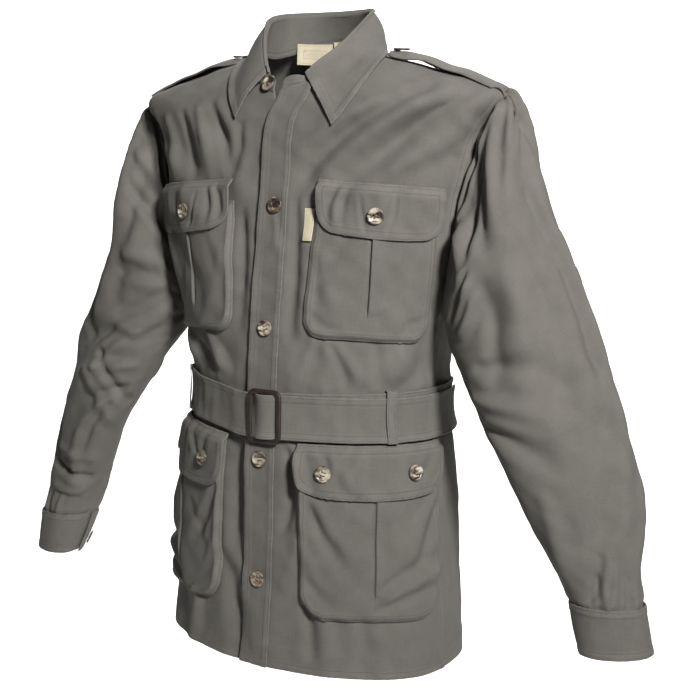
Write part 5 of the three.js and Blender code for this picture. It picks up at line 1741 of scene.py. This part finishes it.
def cloth(node, grid, material, thick, ring=False):
    """Makes a cloth piece from its grid, hangs it on the root body and hides the CAD part that it stands
    for.
    """
    points, normals, near = grid
    piece = shell(node + "_cloth", points, normals, material, thick, ring, near)
    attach(piece, "root")
    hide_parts(node)
    return piece


def make_panels():
    cloth("front_left", front_panel(1), COTTON, CLOTH)
    cloth("front_right", front_panel(-1), COTTON, CLOTH)
    cloth("back", back_panel(), COTTON, CLOTH)
    cloth("yoke", yoke_panel(), COTTON, CLOTH)
    cloth("placket", placket_grid(), COTTON, CLOTH)


def make_sleeves():
    places = {}
    for name, side in SIDES:
        points, normals, near = sleeve_grid(side)
        points, normals = mirrored(points, side), mirrored(normals, side)
        cloth("sleeve_" + name, (points, normals, near), COTTON, CLOTH, ring=True)
        i, j = round((8 / 18) ** 1.04 * (len(points) - 1)), round(points.shape[1] / ARM_STEPS)
        places["sleeve_button_" + name] = points[i, j], grid_normals(points, normals, True)[i, j]
        points, normals, near = cuff_grid()
        points, normals = mirrored(points, side), mirrored(normals, side)
        sew("trim", points, normals, both_rows("top") + both_rows("bottom") + both_rows("start"))
        cloth("cuff_" + name, (points, normals, near), COTTON, DOUBLE)
        i, j = round(2 / 3 * (len(points) - 1)), round(2 / 25 * (points.shape[1] - 1))
        places["cuff_button_" + name] = points[i, j], grid_normals(points, normals)[i, j]
    return places


def make_collar():
    cloth("collar_leaf", leaf_grid(), COTTON, DOUBLE)
    stand = stand_grid()
    cloth("collar_stand", stand, COTTON, DOUBLE)
    points, normals, _ = stand
    hole = points[6, -14]
    ahead, up = unit(points[6, -13] - points[6, -15]), unit(points[8, -14] - points[4, -14])
    n = grid_normals(points, normals)[6, -14]
    a = np.linspace(0, 2 * np.pi, 41)[:, None]
    line = hole + n * 0.2 + ahead * 6.5 * np.cos(a) + up * 1.1 * np.sin(a)
    note("collar", line)
    note("collar", hole + n * 0.2 + (line - hole) * 0.85)
    return {"front_button_1": (points[6, 13], grid_normals(points, normals)[6, 13])}


def other_side(spec, side):
    return dict(spec, middle=side * spec["middle"])


def make_pockets():
    for name, side in SIDES:
        chest = other_side(CHEST_POCKET, side)
        cloth("chest_pocket_" + name, patch_grid(chest, CHEST_POCKET_WRINKLES, 50, 58), COTTON, CLOTH)
        flap = other_side(CHEST_FLAP, side)
        cloth("chest_flap_" + name, patch_grid(flap, CHEST_FLAP_WRINKLES, 16, 58), COTTON, DOUBLE)
        hip = other_side(HIP_POCKET, side)
        cloth("hip_pocket_" + name, patch_grid(hip, HIP_POCKET_WRINKLES, 62, 70), COTTON, CLOTH)
        flap2 = other_side(HIP_FLAP, side)
        if side < 0:
            flap2.update(top=HIP_FLAP["top"] + RIGHT_FLAP["up"], tall=HIP_FLAP["tall"] + RIGHT_FLAP["up"],
                         tilt=RIGHT_FLAP["tilt"])
        cloth("hip_flap_" + name, patch_grid(flap2, HIP_FLAP_WRINKLES, 16, 70), COTTON, DOUBLE)
        for spec, wrinkles in ((chest, CHEST_POCKET_WRINKLES), (flap, CHEST_FLAP_WRINKLES),
                               (hip, HIP_POCKET_WRINKLES), (flap2, HIP_FLAP_WRINKLES)):
            sew_patch("pockets", spec, wrinkles)


def make_trim():
    places = {}
    cloth("belt", belt_grid(), COTTON, DOUBLE)
    cloth("belt_loop_left", belt_loop_grid(58.5, 10.2, 3, 6), COTTON, 1.2)
    cloth("belt_loop_right", belt_loop_grid(-58.5, 6.8, 15), COTTON, 1.2)
    cloth("belt_loop_back", belt_loop_grid(180, 7, 12), COTTON, 1.2)
    for name, side in SIDES:
        points, normals, near = epaulette_grid(side)
        cloth("epaulette_" + name, (points, normals, near), COTTON, DOUBLE)
        places["epaulette_button_" + name] = points[37, 11], grid_normals(points, normals)[37, 11]
    cloth("neck_label", label_grid(-41, 42, 26, 18.5), LABEL, 0.8)
    cloth("size_tag", label_grid(-11, 13, 12, 21.0), LABEL, 0.8)
    cloth("pocket_tab", tab_grid(), LABEL, 1.0)
    return places


def make_buckle():
    vertices, faces = buckle_mesh()
    piece = mesh_object("buckle_frame", vertices, faces, LEATHER)
    outward_faces(piece)
    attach(piece, "root")
    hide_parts("buckle")


def outward_faces(piece):
    shape = bmesh.new()
    shape.from_mesh(piece.data)
    bmesh.ops.recalc_face_normals(shape, faces=shape.faces)
    shape.to_mesh(piece.data)
    shape.free()


FRONT_BUTTONS = (-187, -333, -490, -638)
HIP_BUTTONS = (84, 188)


def button_places():
    places = {}
    for i, z in enumerate(FRONT_BUTTONS):
        phi = np.radians(0.5)
        places[f"front_button_{i + 2}"] = skin(phi, ring_at(z, phi), PLACKET_OUT)
    for name, side in SIDES:
        places["chest_button_" + name] = skin_at(side * 134, -197, CHEST_FLAP["base"] + CHEST_FLAP["over"])
        for i, distance in enumerate(HIP_BUTTONS):
            share = (distance - HIP_FLAP["middle"]) / (HIP_FLAP["wide"] / 2)
            face = HIP_FLAP["base"] + HIP_FLAP["over"] * (1 - HIP_FLAP["flat"] * (1 + share) / 2)
            places[f"hip_button_{name}_{i + 1}"] = skin_at(side * distance, -500, face)
    return places


def make_buttons(places):
    turns = np.random.default_rng(7).uniform(-0.6, 0.6, len(places))
    for turn, (name, (point, normal)) in zip(turns, sorted(places.items())):
        piece = button(name + "_horn", point, unit(normal), 0.7, float(turn))
        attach(piece, "root")
        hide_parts(name)


def make_threads():
    kinds = {
        "body": (THREAD, 3.2, 2.3, 0.42, "cotton"),
        "trim": (THREAD, 3.0, 2.2, 0.42, "cotton"),
        "pockets": (THREAD, 3.0, 2.2, 0.42, "cotton"),
        "collar": (THREAD, 2.8, 2.1, 0.4, "cotton"),
        "label": (PALE_THREAD, 2.2, 1.6, 0.3, "label"),
        "buckle": (BROWN_THREAD, 3.0, 2.2, 0.45, "leather"),
        "buttons": (BROWN_THREAD, 0.45, 0.9, 0.38, "horn"),
    }
    THREADS["buttons"] = BUTTON_THREADS
    for seed, (group, lines) in enumerate(THREADS.items()):
        thread, pitch, length, width, slot = kinds[group]
        piece = stitched(group + "_stitches", lines, thread, pitch, length, width, seed + 3)
        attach(piece, "root")


# The studio. The floor lies where the wearer would stand.
FLOOR = -1.45


def make_stage():
    steps_out = np.linspace(0, np.pi / 2, 14)
    bend = [(3.2 + 2.2 * np.sin(a), FLOOR + 2.2 * (1 - np.cos(a))) for a in steps_out[1:]]
    profile = [(-6.0, FLOOR), (3.2, FLOOR)] + bend
    profile.append((5.4, 7.0))
    turn = np.radians(VIEW_AZIMUTH)
    points = []
    for y, z in profile:
        for x in (-9.0, 9.0):
            points.append((x * np.cos(turn) - y * np.sin(turn), x * np.sin(turn) + y * np.cos(turn), z))
    faces = [(2 * i, 2 * i + 1, 2 * i + 3, 2 * i + 2) for i in range(len(profile) - 1)]
    material, shader = node_material("studio_white")[:2]
    shader.inputs["Base Color"].default_value = (0.9, 0.9, 0.9, 1)
    shader.inputs["Roughness"].default_value = 0.9
    mesh = bpy.data.meshes.new("studio_floor")
    mesh.from_pydata(points, [], faces)
    mesh.polygons.foreach_set("use_smooth", [True] * len(faces))
    mesh.materials.append(material)
    floor = bpy.data.objects.new("studio_floor", mesh)
    bpy.context.scene.collection.objects.link(floor)


def lamp(name, place, aim, size, power, cone=180):
    data = bpy.data.lights.new(name, "AREA")
    data.shape = "SQUARE"
    data.size = size
    data.energy = power
    data.spread = np.radians(cone)
    piece = bpy.data.objects.new(name, data)
    piece.location = place
    piece.rotation_euler = (Vector(aim) - Vector(place)).to_track_quat("-Z", "Y").to_euler()
    bpy.context.scene.collection.objects.link(piece)


def make_lights():
    middle = (0.0, 0.0, -0.3)
    lamp("key", (2.25, -1.8, 1.2), (0.08, 0.0, -0.02), 0.5, 34, cone=76)
    lamp("fill", (-0.6, -3.0, 1.0), middle, 1.2, 4)
    lamp("floor_light", (-1.5, 2.9, 2.4), (-1.8, 3.5, -1.4), 2.6, 330)
    world = bpy.context.scene.world or bpy.data.worlds.new("studio")
    bpy.context.scene.world = world
    world.use_nodes = True
    background = world.node_tree.nodes["Background"]
    background.inputs["Color"].default_value = (1.0, 1.0, 1.0, 1.0)
    background.inputs["Strength"].default_value = 0.03
    bpy.context.scene.view_settings.view_transform = "Standard"


def make_camera():
    azimuth, pitch, roll = np.radians([VIEW_AZIMUTH, 6.5, 1.1])
    distance, across, height = 1700, 38, -173
    r = np.array([np.cos(azimuth), np.sin(azimuth), 0])
    ahead = np.array([-np.sin(azimuth), np.cos(azimuth), 0])
    up = np.array([0, 0, 1.0])
    place = (-ahead * distance + r * across + up * height) * MM
    forward = ahead * np.cos(pitch) - up * np.sin(pitch)
    upward = ahead * np.sin(pitch) + up * np.cos(pitch)
    right = r * np.cos(roll) + upward * np.sin(roll)
    top = upward * np.cos(roll) - r * np.sin(roll)
    data = bpy.data.cameras.new("camera")
    data.lens = 69.5
    data.sensor_width = 36
    camera = bpy.data.objects.new("camera", data)
    turned = np.eye(4)
    turned[:3, 0], turned[:3, 1], turned[:3, 2], turned[:3, 3] = right, top, -forward, place
    camera.matrix_world = Matrix(turned.tolist())
    bpy.context.scene.collection.objects.link(camera)
    bpy.context.scene.camera = camera


BUTTON = button_template()
make_panels()
places = button_places()
places.update(make_sleeves())
places.update(make_collar())
make_pockets()
places.update(make_trim())
make_buckle()
make_buttons(places)
make_threads()
make_stage()
make_lights()
make_camera()
